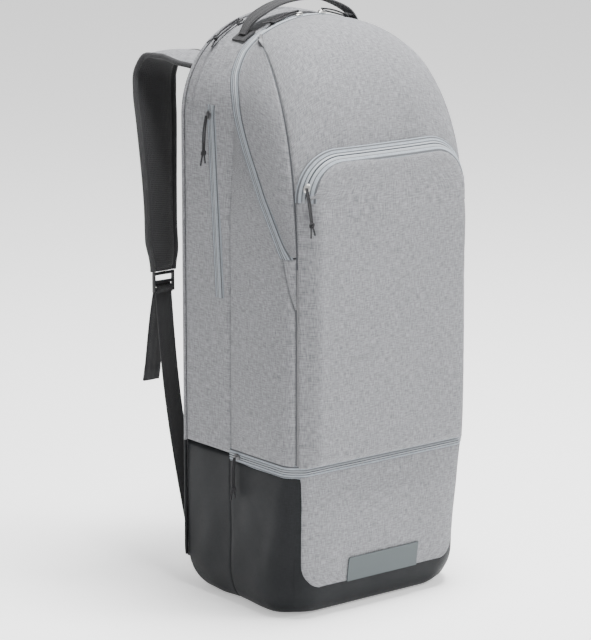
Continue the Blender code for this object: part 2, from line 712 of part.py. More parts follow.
def build_pocket(finishes):
    flap_pivot = (0.0, FOLD_LINE_Y, FLAP_FOLD_Z)
    fold_pivot = (0.0, FOLD_LINE_Y, POCKET_FOLD_Z)

    def face(x, z, inward, full=POCKET_DEPTH):
        return front_point(x, z, pocket_rise(inward, full))

    def low_cover(across, up):
        z = mix(UPPER_TAPE_Z + GAP, FLAP_FOLD_Z - GAP / 2, up)
        x = mix(-SEAM_X, SEAM_X, across)
        inward = min(SEAM_X - abs(x), z - UPPER_TAPE_Z + 0.009)
        return face(x, z, inward)

    def middle_cover(across, up):
        x = mix(-SEAM_X, SEAM_X, across)
        return face(x, mix(FLAP_FOLD_Z + GAP / 2, POCKET_FOLD_Z - GAP / 2, up), SEAM_X - abs(x))

    def top_cover(across, up):
        half = SEAM_X - 2 * TAPE - GAP
        radius = POCKET_ARC_RADIUS - TAPE - GAP
        arc_z = POCKET_TOP_Z - POCKET_ARC_RADIUS
        z = mix(POCKET_FOLD_Z + GAP / 2, arc_z + radius, sin(up * 1.47))
        over = min(max(z - arc_z, 0.0), radius)
        reach = half - radius + sqrt(radius ** 2 - over ** 2)
        x = mix(-reach, reach, across)
        beyond = max(abs(x) - (half - radius), 0.0)
        rim = radius - sqrt(beyond ** 2 + over ** 2) if over > 0 else half - abs(x)
        return face(x, z, rim + 2 * TAPE + GAP)

    panel("pocket_cover_lower", finishes["canvas"], 14, 7, low_cover, POCKET_WALL)
    panel("pocket_cover_middle", finishes["canvas"], 14, 2, middle_cover, POCKET_WALL, flap_pivot)
    panel("pocket_cover_top", finishes["canvas"], 14, 6, top_cover, POCKET_WALL, fold_pivot)
    for name, near, far, pivot in (("pocket_zip_flap_tape", -TAPE, -GAP / 2, flap_pivot),
                                   ("pocket_zip_cover_tape", GAP / 2, TAPE, fold_pivot)):

        def tape(across, up, near=near, far=far):
            x, z, dx, dz = pocket_path(across)
            inward = mix(near, far, up)
            return face(x + dx * inward, z + dz * inward, inward + TAPE)

        panel(name, finishes["tape"], 40, 1, tape, TAPE_THICKNESS, pivot)


def build_shoe_front(finishes):
    pivot = (0.0, FRONT_Y - SHOE_COVER_PROUD, BASE_HEIGHT + GAP)

    def proud(x):
        return SHOE_COVER_PROUD * ease((SEAM_X - abs(x)) / 0.012)

    def cover(across, up):
        x = mix(-SEAM_X, SEAM_X, across)
        return front_point(x, mix(BASE_HEIGHT + GAP, LOWER_TAPE_Z - GAP, up), proud(x))

    panel("shoe_cover", finishes["canvas"], 14, 2, cover, WALL, pivot)
    for name, low, high, place in (("shoe_zip_upper_tape", SHOE_ZIP_Z + GAP / 2, UPPER_TAPE_Z, (0, 0, 0)),
                                   ("shoe_zip_cover_tape", LOWER_TAPE_Z, SHOE_ZIP_Z - GAP / 2, pivot)):

        def tape(across, up, low=low, high=high):
            x = mix(-SEAM_X, SEAM_X, across)
            return front_point(x, mix(low, high, up), proud(x))

        panel(name, finishes["tape"], 14, 1, tape, TAPE_THICKNESS, place)
    x, y, z = PATCH_WIDTH / 2, FRONT_Y - SHOE_COVER_PROUD - SEAT, PATCH_HEIGHT / 2
    rings = [[(-x, d, PATCH_Z - z), (x, d, PATCH_Z - z), (x, d, PATCH_Z + z), (-x, d, PATCH_Z + z)]
             for d in (y, y - PATCH_THICKNESS)]
    finish_object("label_patch", rings_mesh(rings), finishes["patch"], pivot)


# ---- zips that lie on a panel -----------------------------------------------------
def build_side_zip(finishes):
    """Straight zip of the side pocket, on the left gusset's outer face."""
    (top_y, top_z), (low_y, low_z) = SIDE_ZIP_TOP, SIDE_ZIP_BOTTOM
    low_path, high_path = path_at_height(low_z), path_at_height(top_z)

    def tape(across, up):
        path = mix(low_path, high_path, up)
        z = arch(path)[1]
        y = mix(low_y, top_y, (z - low_z) / (top_z - low_z)) + mix(-TAPE, TAPE, across)
        x, z = arch(path, -(TAPE_THICKNESS + 2 * SEAT))
        return Vector((-x, y, z))

    panel("side_zip_tape", finishes["tape"], 1, 10, tape, TAPE_THICKNESS)


def build_rear_zip(finishes):
    """Zip of the rear compartment, on the top panel along the crown."""
    def tape(across, up):
        x, z = arch(mix(-SPLIT_PATH, SPLIT_PATH, across), -(TAPE_THICKNESS + 2 * SEAT))
        return Vector((x, REAR_ZIP_Y + mix(-TAPE, TAPE, up), z))

    panel("rear_zip_tape", finishes["tape"], 20, 1, tape, TAPE_THICKNESS)


def slider(name, finishes, middle, along, out):
    """Zip slider: a small waisted block lying along the chain, with a bridge for its pull."""
    ahead, up = Vector(along).normalized(), Vector(out).normalized()
    side = ahead.cross(up)
    rings = []
    for step, width, height in ((-1.0, 0.62, 0.55), (-0.55, 0.95, 1.0), (0.0, 1.0, 1.0),
                                (0.55, 0.8, 1.0), (1.0, 0.5, 0.55)):
        half = SLIDER_WIDTH / 2 * width
        centre = Vector(middle) + ahead * step * SLIDER_LENGTH / 2
        rings.append([centre + side * half, centre + side * half * 0.7 + up * SLIDER_HEIGHT * height,
                      centre - side * half * 0.7 + up * SLIDER_HEIGHT * height, centre - side * half])
    finish_object(name, rings_mesh(rings), finishes["metal"], middle)


def pull(name, finishes, pin, route):
    """Cord pull: a doubled cord from the slider's pin to a knot with two short ends."""
    cord, knot = CORD_RADIUS, KNOT_RADIUS
    points = smooth_route(route, 12)
    radii = [0.8 * cord, 1.3 * cord, 1.3 * cord, 1.2 * cord, 1.2 * cord, 1.2 * cord, 1.2 * cord,
             0.75 * knot, knot, 0.75 * knot, 1.1 * cord, 0.9 * cord]
    finish_object(name, rings_mesh(tube_rings(points, radii)), finishes["cord"], pin)


def along_crown(turn, radius, y):
    """Point over the crown arc at an angle from its top, for what slides or lies along it."""
    return Vector((radius * sin(turn), y, CROWN_Z + radius * cos(turn)))


SLIDER_TURN = 0.098            # the two main sliders part at the crown's middle
PULL_TURN = 0.30               # arc that a pull lying along the crown takes up


def build_sliders(finishes):
    top = CROWN_RADIUS + SEAT
    over = top + SLIDER_HEIGHT + SEAT + 1.3 * CORD_RADIUS
    for side, hand in ((-1, "left"), (1, "right")):
        turn = side * SLIDER_TURN
        out = Vector((sin(turn), 0.0, cos(turn)))
        slider("main_slider_" + hand, finishes, along_crown(turn, top, LEAN_END_Y),
               (cos(turn), 0.0, -sin(turn)), out)
        pin = along_crown(turn, over, LEAN_END_Y)
        rest = CROWN_RADIUS + 2 * SEAT + KNOT_RADIUS
        stops = np.linspace(turn, turn + side * PULL_TURN, 6)
        route = [pin] + [along_crown(stop, max(rest, over - 0.0012 * k), LEAN_END_Y)
                         for k, stop in enumerate(stops[1:], 1)]
        pull("main_pull_" + hand, finishes, pin, route)
    turn = -0.38
    slider("rear_slider", finishes, along_crown(turn, top + TAPE_THICKNESS + 2 * SEAT, REAR_ZIP_Y),
           (cos(turn), 0.0, -sin(turn)), (sin(turn), 0.0, cos(turn)))
    over = over + TAPE_THICKNESS + 2 * SEAT
    rest = CROWN_RADIUS + TAPE_THICKNESS + 4 * SEAT + KNOT_RADIUS
    stops = np.linspace(turn, turn - PULL_TURN, 6)
    route = [along_crown(turn, over, REAR_ZIP_Y)]
    route += [along_crown(stop, rest, REAR_ZIP_Y) for stop in stops[1:]]
    pull("rear_pull", finishes, route[0], route)


def hanging_route(pin, out, length, lean=(0.0, 0.0, 0.0)):
    """Pull hanging from its pin: out over the slider, then down."""
    pin, out, lean = Vector(pin), Vector(out), Vector(lean)
    down = Vector((0.0, 0.0, -1.0))
    return [pin + out * 0.0025 * ease(3 * share) + down * length * share + lean * share
            for share in np.linspace(0.0, 1.0, 6)]


def build_hanging_sliders(finishes):
    x, z, dx, dz = pocket_path(0.11)
    slope = (pocket_rise(TAPE + SEAT) - pocket_rise(TAPE - SEAT)) / (2 * SEAT)
    out = Vector((-dx * slope, -1.0, -dz * slope)).normalized()
    seat_point = front_point(x, z, pocket_rise(TAPE)) + out * 2 * SEAT
    slider("pocket_slider", finishes, seat_point, (-dz, 0.0, dx), out)
    pin = seat_point + out * (SLIDER_HEIGHT + SEAT + 1.3 * CORD_RADIUS)
    pull("pocket_pull", finishes, pin, hanging_route(pin, (0.0, -1.0, 0.0), 0.058, (0.004, -0.013, 0.0)))

    top_y, top_z = SIDE_ZIP_TOP[0], SIDE_ZIP_TOP[1] - 0.012
    travel = Vector((0.0, SIDE_ZIP_BOTTOM[0] - SIDE_ZIP_TOP[0], SIDE_ZIP_BOTTOM[1] - SIDE_ZIP_TOP[1]))
    x = arch(path_at_height(top_z), -(TAPE_THICKNESS + 3 * SEAT))[0]
    middle = Vector((-x - SEAT, top_y - 0.0008, top_z))
    slider("side_slider", finishes, middle, travel, (-1.0, 0.0, 0.0))
    pin = middle + Vector((-(SLIDER_HEIGHT + SEAT + 0.8 * CORD_RADIUS), 0.0, 0.0))
    pull("side_pull", finishes, pin, hanging_route(pin, (-1.0, 0.0, 0.0), 0.062, (0.0, 0.004, 0.0)))

    middle = Vector((-(BAG_HALF_WIDTH + SEAT), GUSSET_SEAM_Y - 0.016, SHOE_ZIP_Z))
    slider("shoe_slider", finishes, middle, (0.0, -1.0, 0.0), (-1.0, 0.0, 0.0))
    pin = middle + Vector((-(SLIDER_HEIGHT + SEAT + 0.8 * CORD_RADIUS), 0.0, 0.0))
    pull("shoe_pull", finishes, pin, hanging_route(pin, (-1.0, 0.0, 0.0), 0.054))


# ---- handle, straps and their webbing ------------------------------------------------
def build_handle(finishes):
    foot = 0.018
    for side, hand in ((-1, "left"), (1, "right")):
        base = asin_crown(HANDLE_HALF_SPAN)
        rings = []
        for stop in np.linspace(base - foot / 2, base + foot / 2, 5):
            x_low, z_low = arch(side * stop, -SEAT)
            x_high, z_high = arch(side * stop, -(SEAT + WEBBING_THICKNESS))
            half = WEBBING / 2
            rings.append([(x_low, HANDLE_Y - half, z_low), (x_low, HANDLE_Y + half, z_low),
                          (x_high, HANDLE_Y + half, z_high), (x_high, HANDLE_Y - half, z_high)])
        finish_object("handle_tab_" + hand, rings_mesh(rings), finishes["webbing"])
    base = asin_crown(HANDLE_HALF_SPAN)
    start = arch(base, -(2 * SEAT + WEBBING_THICKNESS + 0.0016))
    peak = BAG_HEIGHT + HANDLE_RISE
    knots = [(start[0], start[1]), (start[0] - 0.009, start[1] + 0.012), (0.050, peak - 0.008), (0.0, peak)]
    route = [(-x, HANDLE_Y, z) for x, z in knots] + [(x, HANDLE_Y, z) for x, z in knots[-2::-1]]
    points = smooth_route(route, 21)
    widths = [mix(0.006, WEBBING, ease(4.0 * min(k, 20 - k) / 20)) for k in range(21)]
    rings = band_rings(points, WEBBING, 1.5 * WEBBING_THICKNESS, (0.0, 1.0, 0.0), widths)
    finish_object("top_handle", rings_mesh(rings), finishes["webbing"], (0.0, HANDLE_Y, start[1]))


def asin_crown(x):
    """Distance along the arch of a point beside the crown's end."""
    return CROWN_LENGTH + SHOULDER_RADIUS * (atan2(x - SHOULDER_X, sqrt(
        SHOULDER_RADIUS ** 2 - (x - SHOULDER_X) ** 2)) - CROWN_ANGLE)


LOCK_X = STRAP_ROUTE[-1][0]
LOCK_Y = BACK_Y + STRAP_ROUTE[-1][1] + STRAP_LIFT
LOCK_TOP_Z = STRAP_ROUTE[-1][2] - 3 * SEAT
LOCK_LOW_Z = LOCK_TOP_Z - LOCK_HEIGHT
TAB_Y = BACK_Y + SEAT
WEBBING_X = BAG_HALF_WIDTH - TAB_WIDTH / 2
WEBBING_Y = TAB_Y + WEBBING_THICKNESS + SEAT + WEBBING_THICKNESS / 2


STRAP_RINGS = 28
TAIL_LEAN = 0.026         # how far the loose tail's end hangs away from the bag
WEBBING_SAG = 0.009


def strap_width_share(share):
    """Share of the strap's full width: it narrows below its crest and again at its lower end."""
    return (1.0 - STRAP_TAPER * ease((share - 0.35) / 0.5)) * (1.0 - STRAP_END_TAPER * ease((share - 0.9) / 0.1))


def build_straps(finishes):
    for side, hand in ((-1, "left"), (1, "right")):
        anchor = (0.0, BACK_Y + STRAP_LIFT, STRAP_AXIS_Z)
        route = [(side * x, BACK_Y + STRAP_LIFT + off, z) for x, off, z in STRAP_ROUTE]
        points = smooth_route(route, STRAP_RINGS)
        widths = [STRAP_WIDTH * strap_width_share(k / (STRAP_RINGS - 1)) for k in range(STRAP_RINGS)]
        rings = band_rings(points, STRAP_WIDTH, STRAP_THICKNESS, (1.0, 0.0, 0.0), widths)
        finish_object("shoulder_strap_" + hand, rings_mesh(rings), finishes["mesh"], anchor)

        lock = ladder_lock("ladder_lock_" + hand, finishes, side)
        lock.location = (side * LOCK_X, LOCK_Y, LOCK_TOP_Z)

        tail_y = LOCK_Y + TAIL_STAND_OFF
        top_z = LOCK_LOW_Z + LOCK_BAR
        route = [(side * LOCK_X, tail_y + TAIL_LEAN * share, top_z - TAIL_LENGTH * share)
                 for share in np.linspace(0.0, 1.0, 4)]
        rings = band_rings([Vector(point) for point in route], WEBBING, WEBBING_THICKNESS, (1.0, 0.0, 0.0))
        finish_object("strap_tail_" + hand, rings_mesh(rings), finishes["webbing"],
                      (side * LOCK_X, tail_y, top_z))

        low = Vector((side * WEBBING_X, WEBBING_Y, WEBBING_LOW_Z))
        high = Vector((side * LOCK_X, LOCK_Y, LOCK_LOW_Z - 2 * SEAT))
        sag = Vector((0.0, WEBBING_SAG, 0.0))
        route = [low.lerp(high, share) + sag * sin(pi * share) for share in np.linspace(0.0, 1.0, 8)]
        rings = band_rings(route, WEBBING, WEBBING_THICKNESS, (1.0, 0.0, 0.0))
        finish_object("strap_webbing_" + hand, rings_mesh(rings), finishes["webbing"], low)

        inner, outer = side * (BAG_HALF_WIDTH - TAB_WIDTH), side * BAG_HALF_WIDTH
        rings = [[(outer, y, TAB_LOW_Z), (outer, y, TAB_LOW_Z + TAB_HEIGHT),
                  (inner, y, TAB_LOW_Z + 0.75 * TAB_HEIGHT), (inner, y, TAB_LOW_Z + 0.25 * TAB_HEIGHT)]
                 for y in (TAB_Y, TAB_Y + WEBBING_THICKNESS)]
        finish_object("strap_tab_" + hand, rings_mesh(rings), finishes["canvas"])


def ladder_lock(name, finishes, side):
    """Flat frame with two slots, hung from the strap's end; its origin is its top bar."""
    half, height, deep = LOCK_WIDTH / 2, LOCK_HEIGHT, LOCK_THICKNESS / 2
    bm = bmesh.new()
    bmesh.ops.create_cube(bm, size=1.0)
    for vert in bm.verts:
        vert.co = Vector((vert.co.x * LOCK_WIDTH, vert.co.y * LOCK_THICKNESS, (vert.co.z - 0.5) * height))
    made = finish_object(name, bm, finishes["plastic"])
    slot_height = (height - 3 * LOCK_BAR) / 2
    cutter_mesh = bmesh.new()
    for k in range(2):
        top = -LOCK_BAR - k * (slot_height + LOCK_BAR)
        cube = bmesh.ops.create_cube(cutter_mesh, size=1.0)
        for vert in cube["verts"]:
            vert.co = Vector((vert.co.x * (LOCK_WIDTH - 1.6 * LOCK_BAR), vert.co.y * 4 * LOCK_THICKNESS,
                              top + (vert.co.z - 0.5) * slot_height))
    cutter = finish_object(name + "_slots", cutter_mesh, finishes["plastic"])
    cutter.location = (side * LOCK_X, LOCK_Y, LOCK_TOP_Z)
    cutter.hide_render = True
    cutter.display_type = "WIRE"
    cut = made.modifiers.new("slots", "BOOLEAN")
    cut.operation = "DIFFERENCE"
    cut.solver = "EXACT"
    cut.object = cutter
    return made


def build():
    clear_scene()
    finishes = make_finishes()
    build_base(finishes)
    build_gussets(finishes)
    build_top(finishes)
    build_back(finishes)
    build_back_pad(finishes)
    build_shoe_floor(finishes)
    build_side_pocket(finishes)
    build_front_wall(finishes)
    build_flap(finishes)
    build_main_zip(finishes)
    build_pocket(finishes)
    build_shoe_front(finishes)
    build_side_zip(finishes)
    build_rear_zip(finishes)
    build_sliders(finishes)
    build_hanging_sliders(finishes)
    build_handle(finishes)
    build_straps(finishes)


build()
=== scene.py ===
import math

import bmesh
import bpy
import numpy as np
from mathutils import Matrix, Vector, noise


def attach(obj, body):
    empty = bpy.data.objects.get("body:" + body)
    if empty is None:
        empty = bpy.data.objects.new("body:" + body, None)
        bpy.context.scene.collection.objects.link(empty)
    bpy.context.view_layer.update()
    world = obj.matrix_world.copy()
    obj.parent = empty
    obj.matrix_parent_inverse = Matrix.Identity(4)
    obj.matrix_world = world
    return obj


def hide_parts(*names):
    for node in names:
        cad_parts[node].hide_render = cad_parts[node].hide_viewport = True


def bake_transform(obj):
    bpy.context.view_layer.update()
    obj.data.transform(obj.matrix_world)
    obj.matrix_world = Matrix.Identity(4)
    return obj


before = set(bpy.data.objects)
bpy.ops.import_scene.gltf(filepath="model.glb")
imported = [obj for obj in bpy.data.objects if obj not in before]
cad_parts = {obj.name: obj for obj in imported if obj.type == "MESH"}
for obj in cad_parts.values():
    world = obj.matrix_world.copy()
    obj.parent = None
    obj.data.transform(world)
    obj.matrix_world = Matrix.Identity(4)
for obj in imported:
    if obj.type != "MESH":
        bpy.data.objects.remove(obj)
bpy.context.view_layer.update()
print("frame loaded")

# sizes in metres, as in the frame: the front faces -Y and Z is up
bag = {
    "height": 0.722, "halfWidth": 0.1425, "crownRadius": 0.18, "shoulderRadius": 0.115,
    "frontY": -0.112, "leanStartZ": 0.45, "leanEndY": 0.030, "leanPower": 3.2,
    "cornerRadius": 0.018, "seamX": 0.1325, "seamTopX": 0.083, "seamPower": 1.47,
    "gussetSeamY": 0.010, "rearEdgeY": 0.1005, "baseTopZ": 0.0365,
}
zips = {
    "tape": 0.008, "mainLowZ": 0.452, "shoeZ": 0.190, "pocketTopZ": 0.572, "pocketArc": 0.052,
    "turn": [(0.452, -0.098), (0.518, -0.055), (0.575, -0.024), (0.633, 0.002),
             (0.660, 0.018), (0.685, 0.028), (0.700, 0.030)],
    "sideTop": (0.045, 0.621), "sideLow": (0.029, 0.385), "rearY": 0.082, "surfaceRise": 0.0014,
}
# how the soft lower body rounds off: from softZ down, and faster where it turns under
sag = {"softZ": 0.235, "softRun": 0.190, "corner": 0.026, "front": 0.005, "seam": 0.008, "turnZ": 0.050,
       "sideTurn": 0.023, "frontTurn": 0.023, "backTurn": 0.036, "mostUnder": 0.9985, "lowZ": 0.0025}
folds = {"flapZ": 0.440, "pocketZ": 0.500, "lineY": -0.1314, "pocketDepth": 0.016, "pocketEdge": 0.020}

shoulderX = bag["halfWidth"] - bag["shoulderRadius"]
crownZ = bag["height"] - bag["crownRadius"]
shoulderRise = math.sqrt((bag["crownRadius"] - bag["shoulderRadius"]) ** 2 - shoulderX ** 2)
shoulderZ = crownZ + shoulderRise
crownAngle = math.atan2(shoulderX, shoulderRise)
crownLength = bag["crownRadius"] * crownAngle
shoulderLength = bag["shoulderRadius"] * (math.pi / 2 - crownAngle)
zipPath = crownLength + shoulderLength + shoulderZ - zips["mainLowZ"]
upperTapeZ = zips["shoeZ"] + zips["tape"]
tapeShow = 0.56  # share of a tape that shows beside the coil
hands = ((-1, "left"), (1, "right"))
upperHemZ = zips["shoeZ"] + tapeShow * zips["tape"]
lowerHemZ = zips["shoeZ"] - tapeShow * zips["tape"]


def mix(a, b, share):
    return a + (b - a) * share


def ease(share):
    share = min(max(share, 0.0), 1.0)
    return share * share * (3 - 2 * share)


def arch(path, out=0.0):
    # outline of the bag from the front: x and z at a run from the crown's middle
    side = -1.0 if path < 0 else 1.0
    run = abs(path)
    if run <= crownLength:
        turn = run / bag["crownRadius"]
        x, z = bag["crownRadius"] * math.sin(turn), crownZ + bag["crownRadius"] * math.cos(turn)
    elif run <= crownLength + shoulderLength:
        turn = crownAngle + (run - crownLength) / bag["shoulderRadius"]
        x = shoulderX + bag["shoulderRadius"] * math.sin(turn)
        z = shoulderZ + bag["shoulderRadius"] * math.cos(turn)
    else:
        turn = math.pi / 2
        x, z = bag["halfWidth"], shoulderZ - (run - crownLength - shoulderLength)
    return side * (x + out * math.sin(turn)), z + out * math.cos(turn)


def pathAtHeight(z):
    if z <= shoulderZ:
        return crownLength + shoulderLength + shoulderZ - z
    turn = math.acos(min(1.0, (z - shoulderZ) / bag["shoulderRadius"]))
    return crownLength + bag["shoulderRadius"] * (turn - crownAngle)


def archDrop(x):
    x = min(abs(x), bag["halfWidth"])
    if x <= bag["crownRadius"] * math.sin(crownAngle):
        return bag["crownRadius"] - math.sqrt(bag["crownRadius"] ** 2 - x ** 2)
    rest = max(bag["shoulderRadius"] ** 2 - (x - shoulderX) ** 2, 0.0)
    return bag["height"] - shoulderZ - math.sqrt(rest)


def topHeight(y):
    share = min(max((bag["leanEndY"] - y) / (bag["leanEndY"] - bag["frontY"]), 0.0), 1.0)
    power = bag["leanPower"]
    return bag["leanStartZ"] + (bag["height"] - bag["leanStartZ"]) * (1.0 - share ** power) ** (1.0 / power)


def frontDepth(z):
    share = min(max((z - bag["leanStartZ"]) / (bag["height"] - bag["leanStartZ"]), 0.0), 1.0)
    power = bag["leanPower"]
    return bag["leanEndY"] - (bag["leanEndY"] - bag["frontY"]) * (1.0 - share ** power) ** (1.0 / power)


def lowShare(z):
    return ease((sag["softZ"] - z) / sag["softRun"])


def underShare(z):
    over = min(max(1 - z / sag["turnZ"], 0.0), sag["mostUnder"])
    return 1 - math.sqrt(1 - over * over)


def halfAt(z):
    return bag["halfWidth"] - sag["sideTurn"] * underShare(z)


def seamAt(z):
    return bag["seamX"] - sag["seam"] * lowShare(z) - sag["sideTurn"] * underShare(z)


def recede(z):
    return sag["front"] * lowShare(z) + sag["frontTurn"] * underShare(z)


def rearAt(z):
    return bag["rearEdgeY"] - sag["backTurn"] * underShare(z)


def cornerRound(x, z=1.0):
    radius = bag["cornerRadius"] + sag["corner"] * lowShare(z)
    over = min(max(abs(x) - (halfAt(z) - radius), 0.0), radius)
    return radius - math.sqrt(radius ** 2 - over ** 2)


def halfWidthAt(y, z):
    low, high = 0.02, halfAt(z)
    for _ in range(24):
        x = (low + high) / 2
        ahead = y - cornerRound(x, z) - recede(z)
        if ahead >= bag["frontY"] and z + archDrop(x) <= topHeight(ahead):
            low = x
        else:
            high = x
    return low


def sidePoint(side, y, z):
    return Vector((side * halfWidthAt(y, z), y, z))


def bandPoint(side, path, y):
    x, z = arch(path)
    if z < shoulderZ + 0.4 * bag["shoulderRadius"]:
        return sidePoint(side, y, z)
    return Vector((side * x, y, z - bag["height"] + topHeight(y)))


def frontPoint(x, z, proud=0.0):
    return Vector((x, frontDepth(z + archDrop(x)) + cornerRound(x, z) + recede(z) - proud, z))


def seamXAt(y):
    share = min(max((y - bag["frontY"]) / (bag["leanEndY"] - bag["frontY"]), 0.0), 1.0)
    return bag["seamX"] - (bag["seamX"] - bag["seamTopX"]) * share ** bag["seamPower"]


def cornerSeamDepth(z):
    return frontDepth(z + archDrop(seamAt(z))) + cornerRound(seamAt(z), z) + recede(z)


def zipDepth(z):
    return float(np.interp(z, [p[0] for p in zips["turn"]], [p[1] for p in zips["turn"]]))


def zipEdge(path, share):
    step = 0.004
    slope = (zipDepth(arch(max(path - step, 0.0))[1]) - zipDepth(arch(path + step)[1])) / (2 * step)
    return zipDepth(arch(path)[1]) + share * zips["tape"] * math.sqrt(1 + slope ** 2)


def leanProfile():
    points = [(bag["frontY"], folds["flapZ"]), (bag["frontY"], bag["leanStartZ"])]
    for turn in np.linspace(0.0, math.pi / 2, 181)[1:]:
        reach, rise = math.cos(turn) ** (2 / bag["leanPower"]), math.sin(turn) ** (2 / bag["leanPower"])
        points.append((bag["leanEndY"] - (bag["leanEndY"] - bag["frontY"]) * reach,
                       bag["leanStartZ"] + (bag["height"] - bag["leanStartZ"]) * rise))
    points = np.array(points)
    steps = np.hypot(*np.diff(points, axis=0).T)
    return np.concatenate([[0.0], np.cumsum(steps)]), points


leanLengths, leanPoints = leanProfile()
flapTop = leanLengths[-1] - tapeShow * zips["tape"]


def flapPoint(across, up):
    x = across * bag["seamX"]
    for _ in range(6):
        low = float(np.interp(folds["flapZ"] + archDrop(x), leanPoints[:, 1], leanLengths))
        length = low + (flapTop - low) * up
        y = float(np.interp(length, leanLengths, leanPoints[:, 0]))
        z = float(np.interp(length, leanLengths, leanPoints[:, 1]))
        x = across * seamXAt(y)
    return Vector((x, y + cornerRound(x), z - archDrop(x)))


def pocketRise(inward):
    return 0.0034 + folds["pocketDepth"] * ease(inward / folds["pocketEdge"])


def pocketFace(x, z, inward):
    return frontPoint(x, z, pocketRise(inward))


def pocketZipAt(place):
    # middle line of the pocket's zip: point (x, z) and inward direction
    half = bag["seamX"] - zips["tape"]
    radius = zips["pocketArc"]
    centreX, centreZ = half - radius, zips["pocketTopZ"] - radius
    upright = centreZ - folds["pocketZ"]
    bend = radius * math.pi / 2
    total = 2 * (upright + bend + centreX)
    run = place * total
    if run > total / 2:
        x, z, dx, dz = pocketZipAt(1 - place)
        return -x, z, -dx, dz
    if run <= upright:
        return -half, folds["pocketZ"] + run, 1.0, 0.0
    if run <= upright + bend:
        turn = (run - upright) / radius
        return (-centreX - radius * math.cos(turn), centreZ + radius * math.sin(turn),
                math.cos(turn), -math.sin(turn))
    return run - upright - bend - centreX, zips["pocketTopZ"], 0.0, -1.0


def linked(name, data):
    thing = bpy.data.objects.new(name, data)
    bpy.context.scene.collection.objects.link(thing)
    return thing


def makePiece(name, bm, pieceLooks, body, replaced=(), bend=None, angle=50):
    bmesh.ops.recalc_face_normals(bm, faces=bm.faces)
    if bm.calc_volume(signed=True) < 0:
        bmesh.ops.reverse_faces(bm, faces=bm.faces)
    mesh = bpy.data.meshes.new(name)
    bm.to_mesh(mesh)
    bm.free()
    for look in pieceLooks:
        mesh.materials.append(look)
    mesh.shade_smooth()
    mesh.set_sharp_from_angle(angle=math.radians(angle))
    piece = linked(name, mesh)
    if bend:
        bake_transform(piece)
    else:
        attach(piece, body)
    if replaced:
        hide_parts(*replaced)
    return piece


# how a sewn panel fills out, rolls in at its seams and wrinkles
cloth = {"rimSteps": (0.0, 0.0006, 0.0015, 0.0028, 0.0045, 0.007), "rimRoom": 0.016, "fillRun": 0.05,
         "rollRadius": 0.0045, "calmRun": 0.02, "calmLeast": 0.15, "slackScale": 11, "slack": 1.1,
         "creaseScale": 30, "creaseRun": 17, "crease": 0.55, "grainScale": 75, "grain": 0.16}
flatPanel = {"swell": 0.0, "tuck": 0.0, "sewn": (0, 0, 0, 0)}


def gridSpots(verts, columns, rows):
    # column and row of each vertex of a fresh grid
    return {vert: (round((vert.co.x + 0.5) * columns), round((vert.co.y + 0.5) * rows)) for vert in verts}


def edgeStops(length, cell):
    # rows are close together beside a sewn edge
    rim = [step * min(1.0, length / cloth["rimRoom"]) for step in cloth["rimSteps"]]
    count = max(int((length - 2 * rim[-1]) / cell), 1)
    inner = [mix(rim[-1], length - rim[-1], k / count) for k in range(1, count)]
    return [stop / length for stop in rim + inner + [length - step for step in reversed(rim)]]


def routeLength(points):
    return sum((b - a).length for a, b in zip(points, points[1:]))


def spanOf(locate, upwards):
    return routeLength([locate(0.5, k / 24) if upwards else locate(k / 24, 0.5) for k in range(25)])


def gridNormals(points, outward):
    alongU = np.gradient(points, axis=0)
    alongV = np.gradient(points, axis=1)
    normals = np.cross(alongU, alongV)
    normals /= np.maximum(np.linalg.norm(normals, axis=2, keepdims=True), 1e-12)
    middle = points[points.shape[0] // 2, points.shape[1] // 2]
    facing = normals[points.shape[0] // 2, points.shape[1] // 2]
    return normals if np.dot(facing, outward(middle)) > 0 else -normals


def fromBagCore(point):
    return np.array([point[0], point[1], point[2] - min(max(point[2], 0.05), 0.5)])


def towards(x, y, z):
    return lambda point: np.array([x, y, z])


def edgeDrop(gap):
    # a sewn edge rolls in like a quarter of a circle
    share = min(max(1 - gap / cloth["rollRadius"], 0.0), 1.0)
    return 1 - math.sqrt(1 - share * share)


